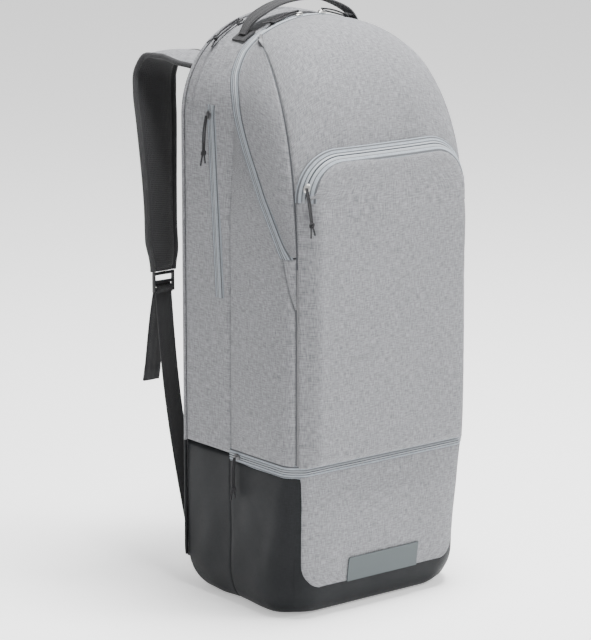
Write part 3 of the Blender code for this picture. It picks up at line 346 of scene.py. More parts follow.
def clothPanel(name, locate, looks, body, slotName, replaced=(), bend=None, cell=0.006, swell=0.003,
               tuck=0.0040, sewn=(1, 1, 1, 1), wall=0.003, wave=0.0009, seed=0.0, dents=None,
               outward=fromBagCore):
    # a sewn panel: filled out in its middle, rolled in at its seams, gently uneven
    width, height = spanOf(locate, False), spanOf(locate, True)
    us, vs = edgeStops(width, cell), edgeStops(height, cell)
    points = np.array([[locate(u, v) for v in vs] for u in us])
    normals = gridNormals(points, outward)
    lift = np.zeros(points.shape[:2])
    for i, u in enumerate(us):
        for j, v in enumerate(vs):
            gaps = (u * width, (1 - u) * width, v * height, (1 - v) * height)
            rise, drop = swell, 0.0
            for gap, hold in zip(gaps, sewn):
                if hold:
                    rise *= ease(gap / cloth["fillRun"])
                    drop = max(drop, tuck * hold * edgeDrop(gap))
            place = Vector(points[i, j])
            calm = ease(min(gaps) / cloth["calmRun"] + cloth["calmLeast"])
            soft = noise.noise(place * cloth["slackScale"] + Vector((seed, 0, 0)))
            creased = noise.noise(Vector((place.x * cloth["creaseScale"], place.y * cloth["creaseScale"],
                                          place.z * cloth["creaseRun"] + seed)))
            small = noise.noise(place * cloth["grainScale"] + Vector((0, seed, 0)))
            uneven = cloth["slack"] * soft + cloth["crease"] * creased + cloth["grain"] * small
            lift[i, j] = rise - drop + wave * calm * uneven
            if dents:
                lift[i, j] += dents(place)
    points = points + normals * lift[:, :, None]
    inner = points - gridNormals(points, outward) * wall
    bm = bmesh.new()
    bmesh.ops.create_grid(bm, x_segments=len(us) - 1, y_segments=len(vs) - 1, size=0.5)
    cover = bmesh.ops.extrude_face_region(bm, geom=bm.faces[:])
    backs = {item for item in cover["geom"] if isinstance(item, bmesh.types.BMVert)}
    uvLayer = bm.loops.layers.uv.new("UVMap")
    spots = gridSpots(bm.verts, len(us) - 1, len(vs) - 1)
    for face in bm.faces:
        face.material_index = 1 if all(vert in backs for vert in face.verts) and len(looks) > 1 else 0
        for loop in face.loops:
            i, j = spots[loop.vert]
            loop[uvLayer].uv = (us[i] * width + seed, vs[j] * height + seed)
    for vert, (i, j) in spots.items():
        vert.co = inner[i, j] if vert in backs else points[i, j]
    return makePiece(name, bm, looks, body, replaced, bend, angle=75)


def loopedMesh(bm, loops, around, run, looksAt=None, weld=1e-6):
    # a sleeve through closed loops of points, with its flat coordinates
    count, rows = len(loops[0]), len(loops)
    grid = bmesh.ops.create_grid(bm, x_segments=count, y_segments=rows - 1, size=0.5)
    uvLayer = bm.loops.layers.uv.get("UVMap") or bm.loops.layers.uv.new("UVMap")
    fresh = set(grid["verts"])
    spots = gridSpots(fresh, count, rows - 1)
    for face in {face for vert in fresh for face in vert.link_faces}:
        low = min(spots[vert][0] for vert in face.verts)
        face.material_index = looksAt(low) if looksAt else 0
        for loop in face.loops:
            i, j = spots[loop.vert]
            loop[uvLayer].uv = (around[i], run[j])
    for vert, (i, j) in spots.items():
        vert.co = loops[j][i % count]
    bmesh.ops.remove_doubles(bm, verts=list(fresh), dist=weld)


def closeEnds(bm, keep=lambda edge: True):
    rims = [edge for edge in bm.edges if edge.is_boundary and keep(edge)]
    bmesh.ops.holes_fill(bm, edges=rims, sides=0)


def sweptMesh(bm, stations, outline, looksAt=None):
    # outline points ride along the stations: (middle, side, out, width share, height share)
    run, around = [0.0], [0.0]
    for a, b in zip(stations, stations[1:]):
        run.append(run[-1] + (b[0] - a[0]).length)
    for (ax, ay), (bx, by) in zip(outline, outline[1:] + outline[:1]):
        around.append(around[-1] + math.hypot(bx - ax, by - ay))
    loops = [[middle + side * a * wide + out * b * high for a, b in outline]
             for middle, side, out, wide, high in stations]
    loopedMesh(bm, loops, around, run, looksAt)
    closeEnds(bm)


def smoothRoute(points, count):
    knots = np.array([list(p) for p in points], dtype=float)
    steps = np.concatenate([[0.0], np.cumsum(np.linalg.norm(np.diff(knots, axis=0), axis=1))])
    slopes = np.gradient(knots, steps, axis=0)
    route = []
    for place in np.linspace(0.0, steps[-1], count):
        k = min(int(np.searchsorted(steps, place, side="right")) - 1, len(steps) - 2)
        span = steps[k + 1] - steps[k]
        t = (place - steps[k]) / span
        point = ((2 * t ** 3 - 3 * t ** 2 + 1) * knots[k] + (t ** 3 - 2 * t ** 2 + t) * span * slopes[k]
                 + (3 * t ** 2 - 2 * t ** 3) * knots[k + 1] + (t ** 3 - t ** 2) * span * slopes[k + 1])
        route.append(Vector(point))
    return route


def bandStations(route, across, wide=None, high=None):
    # stations of a flat strap whose width lies along "across"
    stations = []
    for k, point in enumerate(route):
        ahead = route[min(k + 1, len(route) - 1)] - route[max(k - 1, 0)]
        side = Vector(across)
        side = (side - ahead * side.dot(ahead) / ahead.dot(ahead)).normalized()
        out = ahead.cross(side).normalized()
        stations.append((point, side, out, wide[k] if wide else 1.0, high[k] if high else 1.0))
    return stations


def tubeStations(route):
    # stations of a round cord or tube, without twist
    stations, face = [], None
    for k, point in enumerate(route):
        ahead = (route[min(k + 1, len(route) - 1)] - route[max(k - 1, 0)]).normalized()
        if face is None:
            face = Vector((0.0, 0.0, 1.0)) if abs(ahead.z) < 0.8 else Vector((1.0, 0.0, 0.0))
        face = (face - ahead * face.dot(ahead)).normalized()
        stations.append((point, ahead.cross(face), face, 1.0, 1.0))
    return stations


def ringOutline(radius, sides):
    return [(radius * math.cos(2 * math.pi * k / sides), radius * math.sin(2 * math.pi * k / sides))
            for k in range(sides)]


def flatOutline(width, thickness, crown=0.0, steps=4):
    # outline of a band with round edges, its faces raised by crown in the middle
    half, edge = width / 2, thickness / 2
    points = []
    for k in range(2 * steps + 1):
        turn = math.pi / 2 - math.pi * k / (2 * steps)
        points.append((half - edge + edge * math.cos(turn), edge * math.sin(turn)))
    lower = [(mix(half - edge, edge - half, k / 8), -edge - crown * math.sin(math.pi * k / 8))
             for k in range(1, 8)]
    points += lower
    for k in range(2 * steps + 1):
        turn = -math.pi / 2 - math.pi * k / (2 * steps)
        points.append((edge - half + edge * math.cos(turn), edge * math.sin(turn)))
    points += [(-a, -b) for a, b in lower]
    return points


def sweptPiece(name, stations, outline, look, body, replaced=(), angle=50, looksAt=None):
    bm = bmesh.new()
    sweptMesh(bm, stations, outline, looksAt)
    return makePiece(name, bm, look, body, replaced, angle=angle)


def newGroup(name, inputs, outputs):
    group = bpy.data.node_groups.new(name, "ShaderNodeTree")
    for label, kind, value in inputs:
        socket = group.interface.new_socket(label, in_out="INPUT", socket_type=kind)
        if value is not None:
            socket.default_value = value
    for label, kind in outputs:
        group.interface.new_socket(label, in_out="OUTPUT", socket_type=kind)
    entry, leave = group.nodes.new("NodeGroupInput"), group.nodes.new("NodeGroupOutput")
    return group, entry, leave


def addNode(tree, kind, inputs=None, **settings):
    node = tree.nodes.new(kind)
    for key, value in settings.items():
        setattr(node, key, value)
    for key, value in (inputs or {}).items():
        if isinstance(value, bpy.types.NodeSocket):
            tree.links.new(value, node.inputs[key])
        else:
            node.inputs[key].default_value = value
    return node


def mathNode(tree, operation, a, b=0.0):
    return addNode(tree, "ShaderNodeMath", {0: a, 1: b}, operation=operation).outputs[0]


def weaveGroup():
    # over and under threads from the flat coordinates
    group, entry, leave = newGroup("wovenThreads", [("Threads per metre", "NodeSocketFloat", 1400.0)],
                                   [("Height", "NodeSocketFloat")])
    flat = addNode(group, "ShaderNodeUVMap", uv_map="UVMap")
    parts = addNode(group, "ShaderNodeSeparateXYZ", {0: flat.outputs[0]})
    scale = mathNode(group, "MULTIPLY", entry.outputs[0], math.pi)
    warp = mathNode(group, "SINE", mathNode(group, "MULTIPLY", parts.outputs[0], scale))
    weft = mathNode(group, "SINE", mathNode(group, "MULTIPLY", parts.outputs[1], scale))
    crossing = mathNode(group, "MULTIPLY", warp, weft)
    group.links.new(mathNode(group, "MULTIPLY_ADD", crossing, 0.5), leave.inputs[0])
    leave.inputs[0].links[0].from_node.inputs[2].default_value = 0.5
    return group


def slubGroup():
    # heathered yarns: short light and dark streaks along both thread directions
    shadesIn = [("Dark", "NodeSocketColor", None), ("Light", "NodeSocketColor", None)]
    group, entry, leave = newGroup("heatheredYarns", shadesIn,
                                   [("Color", "NodeSocketColor"), ("Height", "NodeSocketFloat")])
    flat = addNode(group, "ShaderNodeUVMap", uv_map="UVMap")
    shades = []
    for stretch in ((820.0, 110.0, 1.0), (120.0, 820.0, 1.0)):
        place = addNode(group, "ShaderNodeMapping", {0: flat.outputs[0], 3: stretch})
        streak = addNode(group, "ShaderNodeTexNoise", {"Vector": place.outputs[0], "Scale": 1.0,
                                                       "Detail": 1.5, "Roughness": 0.5})
        shades.append(streak.outputs[0])
    speck = addNode(group, "ShaderNodeTexNoise", {"Vector": flat.outputs[0], "Scale": 1500.0, "Detail": 1.0})
    streaks = mathNode(group, "ADD", shades[0], shades[1])
    both = mathNode(group, "MULTIPLY_ADD", speck.outputs[0], 0.20)
    group.links.new(streaks, both.node.inputs[2])
    spread = addNode(group, "ShaderNodeMapRange", {"Value": both, "From Min": 0.80, "From Max": 1.40})
    colour = addNode(group, "ShaderNodeMix", {0: spread.outputs[0], 6: entry.outputs[0], 7: entry.outputs[1]},
                     data_type="RGBA")
    group.links.new(colour.outputs[2], leave.inputs[0])
    group.links.new(spread.outputs[0], leave.inputs[1])
    return group


def unevenGroup():
    # slow light and dark drift over a whole panel
    shadeIn = [("Color", "NodeSocketColor", None), ("Amount", "NodeSocketFloat", 0.1)]
    group, entry, leave = newGroup("slowDrift", shadeIn, [("Color", "NodeSocketColor")])
    place = addNode(group, "ShaderNodeTexCoord")
    drift = addNode(group, "ShaderNodeTexNoise", {"Vector": place.outputs["Object"], "Scale": 14.0,
                                                  "Detail": 3.0})
    swing = mathNode(group, "SUBTRACT", drift.outputs[0], 0.5)
    value = mathNode(group, "MULTIPLY_ADD", mathNode(group, "MULTIPLY", swing, entry.outputs[1]), 2.0)
    value.node.inputs[2].default_value = 1.0
    toned = addNode(group, "ShaderNodeHueSaturation", {"Color": entry.outputs[0], "Value": value})
    group.links.new(toned.outputs[0], leave.inputs[0])
    return group


weave, slubs, drift = weaveGroup(), slubGroup(), unevenGroup()


def newLook(name, look):
    material = bpy.data.materials.new(name)
    material.use_nodes = True
    tree = material.node_tree
    shader = next(node for node in tree.nodes if node.type == "BSDF_PRINCIPLED")
    shader.inputs["Roughness"].default_value = look["roughness"]
    shader.inputs["Metallic"].default_value = look.get("metallic", 0.0)
    shader.inputs["Specular IOR Level"].default_value = look.get("specular", 0.5)
    shader.inputs["Sheen Weight"].default_value = look.get("sheen", 0.0)
    shader.inputs["Sheen Roughness"].default_value = 0.5
    shader.inputs["Coat Weight"].default_value = look.get("coat", 0.0)
    return material, tree, shader


def groupNode(tree, group, inputs):
    return addNode(tree, "ShaderNodeGroup", inputs, node_tree=group)


def bumpInto(tree, shader, height, distance, strength=1.0, below=None):
    bump = addNode(tree, "ShaderNodeBump", {"Height": height, "Distance": distance, "Strength": strength})
    if below is not None:
        tree.links.new(below, bump.inputs["Normal"])
    tree.links.new(bump.outputs[0], shader.inputs["Normal"])
    return bump.outputs[0]


def clothLook(name, look):
    # woven cloth: heathered or plain, with thread relief and a soft fall of tone
    material, tree, shader = newLook(name, look)
    yarns = groupNode(tree, slubs, {"Dark": (*look["dark"], 1.0), "Light": (*look["light"], 1.0)})
    toned = groupNode(tree, drift, {"Color": yarns.outputs[0], "Amount": look.get("drift", 0.06)})
    tree.links.new(toned.outputs[0], shader.inputs["Base Color"])
    threads = groupNode(tree, weave, {"Threads per metre": look["threads"]})
    small = bumpInto(tree, shader, threads.outputs[0], look["relief"])
    bumpInto(tree, shader, yarns.outputs[1], look["relief"] * 0.6, 0.6, small)
    return material


def plainLook(name, look):
    material, tree, shader = newLook(name, look)
    toned = groupNode(tree, drift, {"Color": (*look["color"], 1.0), "Amount": look.get("drift", 0.05)})
    tree.links.new(toned.outputs[0], shader.inputs["Base Color"])
    place = addNode(tree, "ShaderNodeTexCoord")
    grain = addNode(tree, "ShaderNodeTexNoise", {"Vector": place.outputs["Object"], "Scale": look["grain"],
                                                 "Detail": 3.0})
    bumpInto(tree, shader, grain.outputs[0], look["relief"])
    return material


def ribbedLook(name, look):
    # webbing: ribs across the run and a fine herringbone along it
    material, tree, shader = newLook(name, look)
    flat = addNode(tree, "ShaderNodeUVMap", uv_map="UVMap")
    parts = addNode(tree, "ShaderNodeSeparateXYZ", {0: flat.outputs[0]})
    slant = mathNode(tree, "PINGPONG", parts.outputs[0], look["rib"] * 2.5)
    run = mathNode(tree, "ADD", parts.outputs[1], slant)
    wave = mathNode(tree, "SINE", mathNode(tree, "MULTIPLY", run, 2 * math.pi / look["rib"]))
    turns = mathNode(tree, "MULTIPLY", parts.outputs[0], 2 * math.pi / (look["rib"] * 1.25))
    lines = mathNode(tree, "SINE", turns)
    height = mathNode(tree, "ADD", wave, mathNode(tree, "MULTIPLY", lines, 0.6))
    toned = groupNode(tree, drift, {"Color": (*look["color"], 1.0), "Amount": 0.12})
    tree.links.new(toned.outputs[0], shader.inputs["Base Color"])
    bumpInto(tree, shader, height, look["relief"])
    return material


def meshLook(name, look):
    # knitted spacer mesh: small round holes in staggered rows, coloured darker inside as painted shade
    material, tree, shader = newLook(name, look)
    flat = addNode(tree, "ShaderNodeUVMap", uv_map="UVMap")
    cells = addNode(tree, "ShaderNodeTexVoronoi", {"Vector": flat.outputs[0], "Scale": 1 / look["cell"],
                                                   "Randomness": 0.25})
    hole = addNode(tree, "ShaderNodeMapRange", {"Value": cells.outputs[0], "From Min": 0.22,
                                                "From Max": 0.45})
    # painted shade: the holes are coloured a quarter as bright as the mesh
    colour = addNode(tree, "ShaderNodeMix", {0: hole.outputs[0], 6: (*[c * 0.25 for c in look["color"]], 1.0),
                                             7: (*look["color"], 1.0)}, data_type="RGBA")
    toned = groupNode(tree, drift, {"Color": colour.outputs[2], "Amount": 0.12})
    tree.links.new(toned.outputs[0], shader.inputs["Base Color"])
    bumpInto(tree, shader, hole.outputs[0], look["relief"])
    return material


looks = {
    "canvas": clothLook("melangeCanvas", {"dark": (0.120, 0.122, 0.131), "light": (0.268, 0.271, 0.283),
                                          "roughness": 0.86, "sheen": 0.04, "threads": 1500.0,
                                          "relief": 0.00026, "specular": 0.3}),
    "lining": clothLook("liningWeave", {"dark": (0.13, 0.13, 0.135), "light": (0.21, 0.21, 0.215),
                                        "roughness": 0.8, "threads": 2400.0, "relief": 0.00012,
                                        "specular": 0.3}),
    "coated": clothLook("coatedWeave", {"dark": (0.0050, 0.0058, 0.0068), "light": (0.0090, 0.0100, 0.0115),
                                        "roughness": 0.46, "threads": 1900.0, "relief": 0.00006,
                                        "specular": 0.12, "drift": 0.05}),
    "tape": clothLook("zipTapeWeave", {"dark": (0.19, 0.212, 0.235), "light": (0.26, 0.286, 0.314),
                                       "roughness": 0.8, "threads": 2600.0, "relief": 0.00010,
                                       "specular": 0.3, "drift": 0.03}),
    # painted shade: a near-black look for thin pieces and zip runs where only the shadow of a seam or gap
    # falls
    "gapShade": plainLook("seamShade", {"color": (0.060, 0.064, 0.070), "roughness": 0.8, "grain": 900.0,
                                        "relief": 0.0001}),
    "coil": plainLook("coilNylon", {"color": (0.25, 0.27, 0.29), "roughness": 0.5, "grain": 900.0,
                                    "relief": 0.0001}),
    "metal": plainLook("satinMetal", {"color": (0.74, 0.74, 0.72), "roughness": 0.28, "metallic": 1.0,
                                      "grain": 300.0, "relief": 0.00003, "drift": 0.03}),
    "darkMetal": plainLook("gunmetal", {"color": (0.16, 0.16, 0.165), "roughness": 0.34, "metallic": 1.0,
                                        "grain": 300.0, "relief": 0.00003, "drift": 0.03}),
    "cord": ribbedLook("pullCordBraid", {"color": (0.009, 0.009, 0.011), "roughness": 0.7, "rib": 0.0012,
                                         "relief": 0.00015}),
    "webbing": ribbedLook("blackWebbing", {"color": (0.010, 0.010, 0.012), "roughness": 0.75, "rib": 0.0016,
                                           "relief": 0.00025, "sheen": 0.1}),
    "binding": ribbedLook("bindingTape", {"color": (0.017, 0.017, 0.019), "roughness": 0.75, "rib": 0.0011,
                                          "relief": 0.00015, "sheen": 0.1}),
    "mesh": meshLook("spacerMesh", {"color": (0.014, 0.014, 0.016), "roughness": 0.8, "cell": 0.0024,
                                    "relief": 0.0004, "sheen": 0.15}),
    "plastic": plainLook("mouldedPlastic", {"color": (0.022, 0.022, 0.024), "roughness": 0.42, "grain": 700.0,
                                            "relief": 0.00006}),
    "patch": plainLook("patchRubber", {"color": (0.045, 0.058, 0.062), "roughness": 0.55, "grain": 800.0,
                                       "relief": 0.00008}),
}
print("materials made")


# looks of a wall's outer and inner face
splitLook = [looks["canvas"], looks["lining"]]
coatedLook = [looks["coated"], looks["lining"]]
liningLook = [looks["lining"], looks["lining"]]
walls = {"tailEndZ": 0.3875, "tailLowZ": 0.3905, "wedgeTopZ": 0.7035, "overlap": 0.0012, "lowPower": 1.25}
sideTopPath = zipPath * (1 - 11 / 24)
sideTopZ = arch(zipPath * 13 / 24)[1]
lowPath = pathAtHeight(zips["shoeZ"])


def gussetSeam(z):
    # depth of the seam between a side panel and the gusset
    if z >= sideTopZ:
        return zipEdge(pathAtHeight(z), tapeShow)
    reach = zipEdge(pathAtHeight(sideTopZ), tapeShow)
    return mix(bag["gussetSeamY"], reach, ease((z - zips["mainLowZ"]) / (sideTopZ - zips["mainLowZ"])))


def bandAt(u, v):
    # one band round the sides and the top
    path = mix(-lowPath, lowPath, u)
    front = gussetSeam(arch(abs(path))[1]) if abs(path) > crownLength else zipEdge(abs(path), tapeShow)
    return bandPoint(1 if path > 0 else -1, abs(path), mix(front, bag["rearEdgeY"], v))


def tailEdge(z):
    # the canvas below the main zip's end narrows down to the corner seam
    share = (z - walls["tailEndZ"]) / (zips["mainLowZ"] - walls["tailEndZ"])
    return mix(cornerSeamDepth(z), zipEdge(zipPath, tapeShow), min(max(share, 0.0), 1.0))


def sidePanelFront(z):
    return zipEdge(pathAtHeight(z), tapeShow) if z > zips["mainLowZ"] else tailEdge(z)


def softFolds(place):
    # slack coated cloth hangs in slanting folds
    slant = place.y * 26 + place.z * 15
    return 0.0016 * noise.noise(Vector((slant, place.x * 8, place.z * 5))) * ease(place.z / 0.05)


def creaseAt(place):
    # pinched fold in the gusset beside the zip
    start, end = Vector((-0.118, 0.036, 0.690)), Vector((-0.126, 0.043, 0.652))
    along = min(max((place - start).dot(end - start) / (end - start).length_squared, 0.0), 1.0)
    return -0.0030 * math.exp(-((place - start.lerp(end, along)).length / 0.0032) ** 2)


def flapShareAt(z):
    # how far up the flap's seam a height lies
    low, high = 0.0, 1.0
    for _ in range(22):
        middle = (low + high) / 2
        if flapPoint(1.0, middle).z < z:
            low = middle
        else:
            high = middle
    return low


clothPanel("sideBand", bandAt, splitLook, "pack", "melange_canvas",
           ("gusset_left", "gusset_right", "top_panel"), swell=0.0022, wave=0.0013, seed=0.3,
           sewn=(1, 1, 1, 0.45), dents=creaseAt)

for side, hand in hands:

    def sidePanelAt(u, v, side=side):
        z = mix(upperHemZ, sideTopZ - 0.004, v)
        return sidePoint(side, mix(sidePanelFront(z), gussetSeam(z), u), z)

    def tailAt(u, v, side=side):
        z = mix(walls["tailLowZ"], zips["mainLowZ"] + 0.001, v)
        return sidePoint(side, mix(cornerSeamDepth(z), tailEdge(z), u), z)

    def wedgeAt(u, v, side=side):
        low, high = zips["mainLowZ"] + 0.002, leanPoints[-1, 1] - archDrop(bag["seamTopX"]) - 0.004
        z = mix(low, high, v)
        seam = flapPoint(side, flapShareAt(z))
        path = mix(pathAtHeight(low), pathAtHeight(walls["wedgeTopZ"]), v)
        return sidePoint(side, mix(seam.y, zipEdge(path, -tapeShow), u), mix(z, arch(path)[1], u))

    def baseGussetAt(u, v, side=side):
        z = mix(sag["lowZ"], zips["shoeZ"], v ** walls["lowPower"])
        return sidePoint(side, mix(bag["gussetSeamY"] - walls["overlap"], rearAt(z), u), z)

    def shoeSideAt(u, v, side=side):
        z = mix(sag["lowZ"], lowerHemZ, v ** walls["lowPower"])
        return sidePoint(side, mix(cornerSeamDepth(z), bag["gussetSeamY"] + walls["overlap"], u ** 1.4), z)

    clothPanel("sidePanel_" + hand, sidePanelAt, splitLook, "pack", "melange_canvas", ("side_panel_" + hand,),
               swell=0.0028, wave=0.0014, seed=1.7 + side)
    clothPanel("zipTail_" + hand, tailAt, splitLook, "pack", "melange_canvas", cell=0.004,
               swell=0.0, tuck=0.0022, seed=2.1 + side)
    clothPanel("flapSide_" + hand, wedgeAt, splitLook, "flap", "melange_canvas", ("flap_side_" + hand,),
               swell=0.0016, wave=0.0018, seed=4.2 + side)
    clothPanel("baseGusset_" + hand, baseGussetAt, coatedLook, "pack", "coated_fabric",
               ("base_gusset_" + hand,), sewn=(1, 1, 0, 1), swell=0.0016, wave=0.0012, seed=5.3 + side,
               dents=softFolds, cell=0.005)
    clothPanel("shoeSide_" + hand, shoeSideAt, coatedLook, "pack", "coated_fabric",
               ("shoe_side_" + hand,), sewn=(0.25, 0.5, 0, 1), swell=0.0022, wave=0.0016, seed=6.1 + side,
               dents=softFolds, cell=0.005)


def flapFolds(place):
    # loose vertical folds run up from the pocket
    near = ease((0.665 - place.z) / 0.06) * ease((place.z - 0.560) / 0.02)
    rows = noise.noise(Vector((place.x * 46 + place.z * 9, place.z * 9, 2.5)))
    return 0.0026 * near * rows * ease((abs(place.x) + 0.02) / 0.09)


clothPanel("flapPanel", lambda u, v: flapPoint(2 * u - 1, v), splitLook, "flap", "melange_canvas",
           ("flap_panel",), swell=0.0010, wave=0.0014, seed=3.4, cell=0.006, dents=flapFolds)
print("walls made")


pocket = {"cornerEndZ": 0.5225, "cornerRun": 0.010, "lap": 0.0014, "lapZ": 0.540, "lapRun": 0.012,
          "tuck": 0.0030, "wave": 0.0014, "seed": 7.7}


def pocketLowAt(u, v):
    z = mix(upperHemZ, folds["pocketZ"], v)
    x = mix(-seamAt(z), seamAt(z), u)
    return pocketFace(x, z, min(seamAt(z) - abs(x), z - upperHemZ + 0.009))


def pocketTopAt(u, v):
    half = bag["seamX"] - (1 + tapeShow) * zips["tape"]
    radius = zips["pocketArc"] - tapeShow * zips["tape"]
    arcZ = zips["pocketTopZ"] - zips["pocketArc"]
    z = mix(folds["pocketZ"], arcZ + radius, math.sin(v * 1.5) / math.sin(1.5) if v < 1 else 1.0)
    over = min(max(z - arcZ, 0.0), radius * 0.999)
    reach = half - radius + math.sqrt(radius ** 2 - over ** 2)
    # its lower corners fold out over the ends of the zip
    out = (1 + tapeShow) * zips["tape"]
    reach += out * (1 - ease((z - pocket["cornerEndZ"]) / pocket["cornerRun"]))
    x = mix(-reach, reach, u)
    beyond = max(abs(x) - (half - radius), 0.0)
    rim = radius - math.sqrt(beyond ** 2 + over ** 2) if over > 0 and beyond < radius else half - abs(x)
    lap = ease((pocket["lapZ"] - z) / pocket["lapRun"]) * ease((abs(x) - half + 0.006) / 0.006)
    return pocketFace(x, z, max(rim + out, 0.0)) + Vector((0.0, -pocket["lap"] * lap, 0.0))


clothPanel("pocketCoverLow", pocketLowAt, splitLook, "pack", "melange_canvas",
           ("pocket_cover_lower", "pocket_cover_middle"), bend=("pack", "flap", 0.40, 0.47),
           sewn=(1, 1, 1, 0), swell=0.0, wave=pocket["wave"], seed=pocket["seed"], tuck=pocket["tuck"])
clothPanel("pocketCoverTop", pocketTopAt, splitLook, "pocket_top", "melange_canvas", ("pocket_cover_top",),
           bend=("flap", "pocket_top", 0.5, 0.518), sewn=(1, 1, 0, 1), swell=0.0, wave=pocket["wave"],
           seed=pocket["seed"], tuck=pocket["tuck"])

shoe = {"proud": 0.005, "proudRun": 0.012, "lowZ": 0.0385, "radius": 0.030, "backTopZ": 0.1812,
        "backReach": 0.0025, "backSink": 0.0016, "swell": 0.0048}


def shoeProud(x):
    return shoe["proud"] * ease((bag["seamX"] - abs(x)) / shoe["proudRun"])


def shoeCoverAt(u, v):
    low, radius = shoe["lowZ"], shoe["radius"]
    z = mix(low, lowerHemZ, v)
    under = max(low + radius - z, 0.0)
    reach = seamAt(z) - 0.001 - radius + math.sqrt(max(radius ** 2 - under ** 2, 0.0))
    x = mix(-reach, reach, u)
    return frontPoint(x, z, shoeProud(x))


def shoeBackAt(u, v):
    # coated cloth that shows round the cover
    z = mix(sag["lowZ"], shoe["backTopZ"], v)
    reach = seamAt(z) + shoe["backReach"]
    x = mix(-reach, reach, u)
    return frontPoint(x, z, shoeProud(x) * ease(z / 0.05) - shoe["backSink"])


clothPanel("shoeCover", shoeCoverAt, splitLook, "shoe_front", "melange_canvas", ("shoe_cover",),
           swell=shoe["swell"], wave=0.0013, tuck=0.0026, seed=8.8, wall=0.0015)
clothPanel("shoeSurround", shoeBackAt, coatedLook, "shoe_front", "coated_fabric", sewn=(0, 0, 0, 0),
           bend=("pack", "shoe_front", 0.026, 0.044), swell=0.0006, wave=0.0009, seed=9.3, wall=0.0012,
           cell=0.005)


def wallAt(u, v):
    z = mix(upperHemZ, folds["flapZ"], v)
    return frontPoint(mix(-seamAt(z), seamAt(z), u), z, -0.0002)


clothPanel("frontWall", wallAt, liningLook, "pack", "lining_fabric", ("front_wall",), wave=0.0, cell=0.012,
           wall=0.0025, **flatPanel)

tub = {"inset": 0.0042, "rearInset": 0.0030, "turnZ": 0.034, "backCorner": 0.004, "wall": 0.003,
       "wave": 0.0008}


def baseTub():
    # it lies just inside the side and front panels and shows at the back
    inset = tub["inset"]
    turns = np.linspace(0.0, math.pi / 2, 13)
    stops = [bag["baseTopZ"] - 0.001] + [tub["turnZ"] * (1 - math.sin(turn)) for turn in turns]
    cornerBack, cornerFront = tub["backCorner"], bag["cornerRadius"] + sag["corner"]
    around = []
    for cx, cy, first in ((1, 1, 0), (-1, 1, 90), (-1, -1, 180), (1, -1, 270)):
        around += [(cx, cy, math.radians(first + step * 9)) for step in range(11)]
    loops = []
    for z in stops:
        half, front = halfAt(z) - 0.6 * inset, bag["frontY"] + recede(z) + inset
        back = rearAt(z) + tub["rearInset"]
        ring = []
        for k, (cx, cy, angle) in enumerate(around):
            corner = cornerBack if cy > 0 else cornerFront
            base = Vector((cx * (half - corner), back - corner if cy > 0 else front + corner, z))
            point = base + Vector((corner * math.cos(angle), corner * math.sin(angle), 0.0))
            ring.append(point)
            if k % 11 == 10:  # a straight run to the next corner
                nextX, nextY, turn = around[(k + 1) % len(around)]
                corner = cornerBack if nextY > 0 else cornerFront
                level = back - corner if nextY > 0 else front + corner
                ahead = Vector((nextX * (half - corner) + corner * math.cos(turn),
                                level + corner * math.sin(turn), z))
                ring += [point.lerp(ahead, step / 16) for step in range(1, 16)]
        loops.append(ring)
    rows = len(loops)
    for j, ring in enumerate(loops):
        calm = min(1.0, j / 3) * min(1.0, (rows - 1 - j) / 4)
        for i, point in enumerate(ring):
            soft = noise.noise(point * 14) * tub["wave"] * calm
            ring[i] = point + Vector((point.x * 4, point.y * 6, 0)).normalized() * soft
    bm = bmesh.new()
    loopedMesh(bm, loops, [i * 0.008 for i in range(len(loops[0]) + 1)], [j * 0.004 for j in range(rows)])
    closeEnds(bm, lambda edge: edge.verts[0].co.z < 0.001)
    bmesh.ops.recalc_face_normals(bm, faces=bm.faces)
    bmesh.ops.solidify(bm, geom=bm.faces[:], thickness=tub["wall"])
    return bm


makePiece("baseTub", baseTub(), coatedLook[:1], "pack", ("base_panel",), angle=60)


def archHalf(z, inset):
    # half the width of the arch at a height, inset from the outline
    radius, shoulder = bag["crownRadius"] - inset, bag["shoulderRadius"] - inset
    if z <= shoulderZ:
        return bag["halfWidth"] - inset
    if z < crownZ + radius * math.cos(crownAngle):
        return shoulderX + math.sqrt(max(shoulder ** 2 - (z - shoulderZ) ** 2, 0.0))
    return math.sqrt(max(radius ** 2 - (z - crownZ) ** 2, 0.0))


def archPlate(name, look, slotName, replaced, inset, lowZ, y, thickness):
    def plateAt(u, v):
        z = mix(lowZ, bag["height"] - inset - 0.0006, math.sin(v * math.pi / 2))
        return Vector((mix(-1, 1, u) * (archHalf(z, inset) - sag["sideTurn"] * underShare(z)), y, z))

    clothPanel(name, plateAt, [look, look], "pack", slotName, replaced, cell=0.012, wave=0.0, wall=thickness,
               outward=towards(0.0, 1.0, 0.0), **flatPanel)


# inside: the divider over the shoe compartment and the side pocket's hanging bag
divider = {"half": 0.138, "frontY": -0.1075, "rearY": 0.1000, "z": 0.1955, "cornerY": -0.090,
           "cornerRun": 0.0175}
hanging = {"x": -0.1285, "frontY": -0.016, "rearY": 0.072, "lowZ": 0.330, "topZ": 0.5969}


def dividerAt(u, v):
    depth = mix(divider["frontY"], divider["rearY"], v)
    corner = cornerRound(divider["half"]) * ease((divider["cornerY"] - depth) / divider["cornerRun"])
    reach = divider["half"] - corner
    return Vector((mix(-reach, reach, u), depth, divider["z"]))


def hangingBagAt(u, v):
    return Vector((hanging["x"], mix(hanging["frontY"], hanging["rearY"], u),
                   mix(hanging["lowZ"], hanging["topZ"], v)))


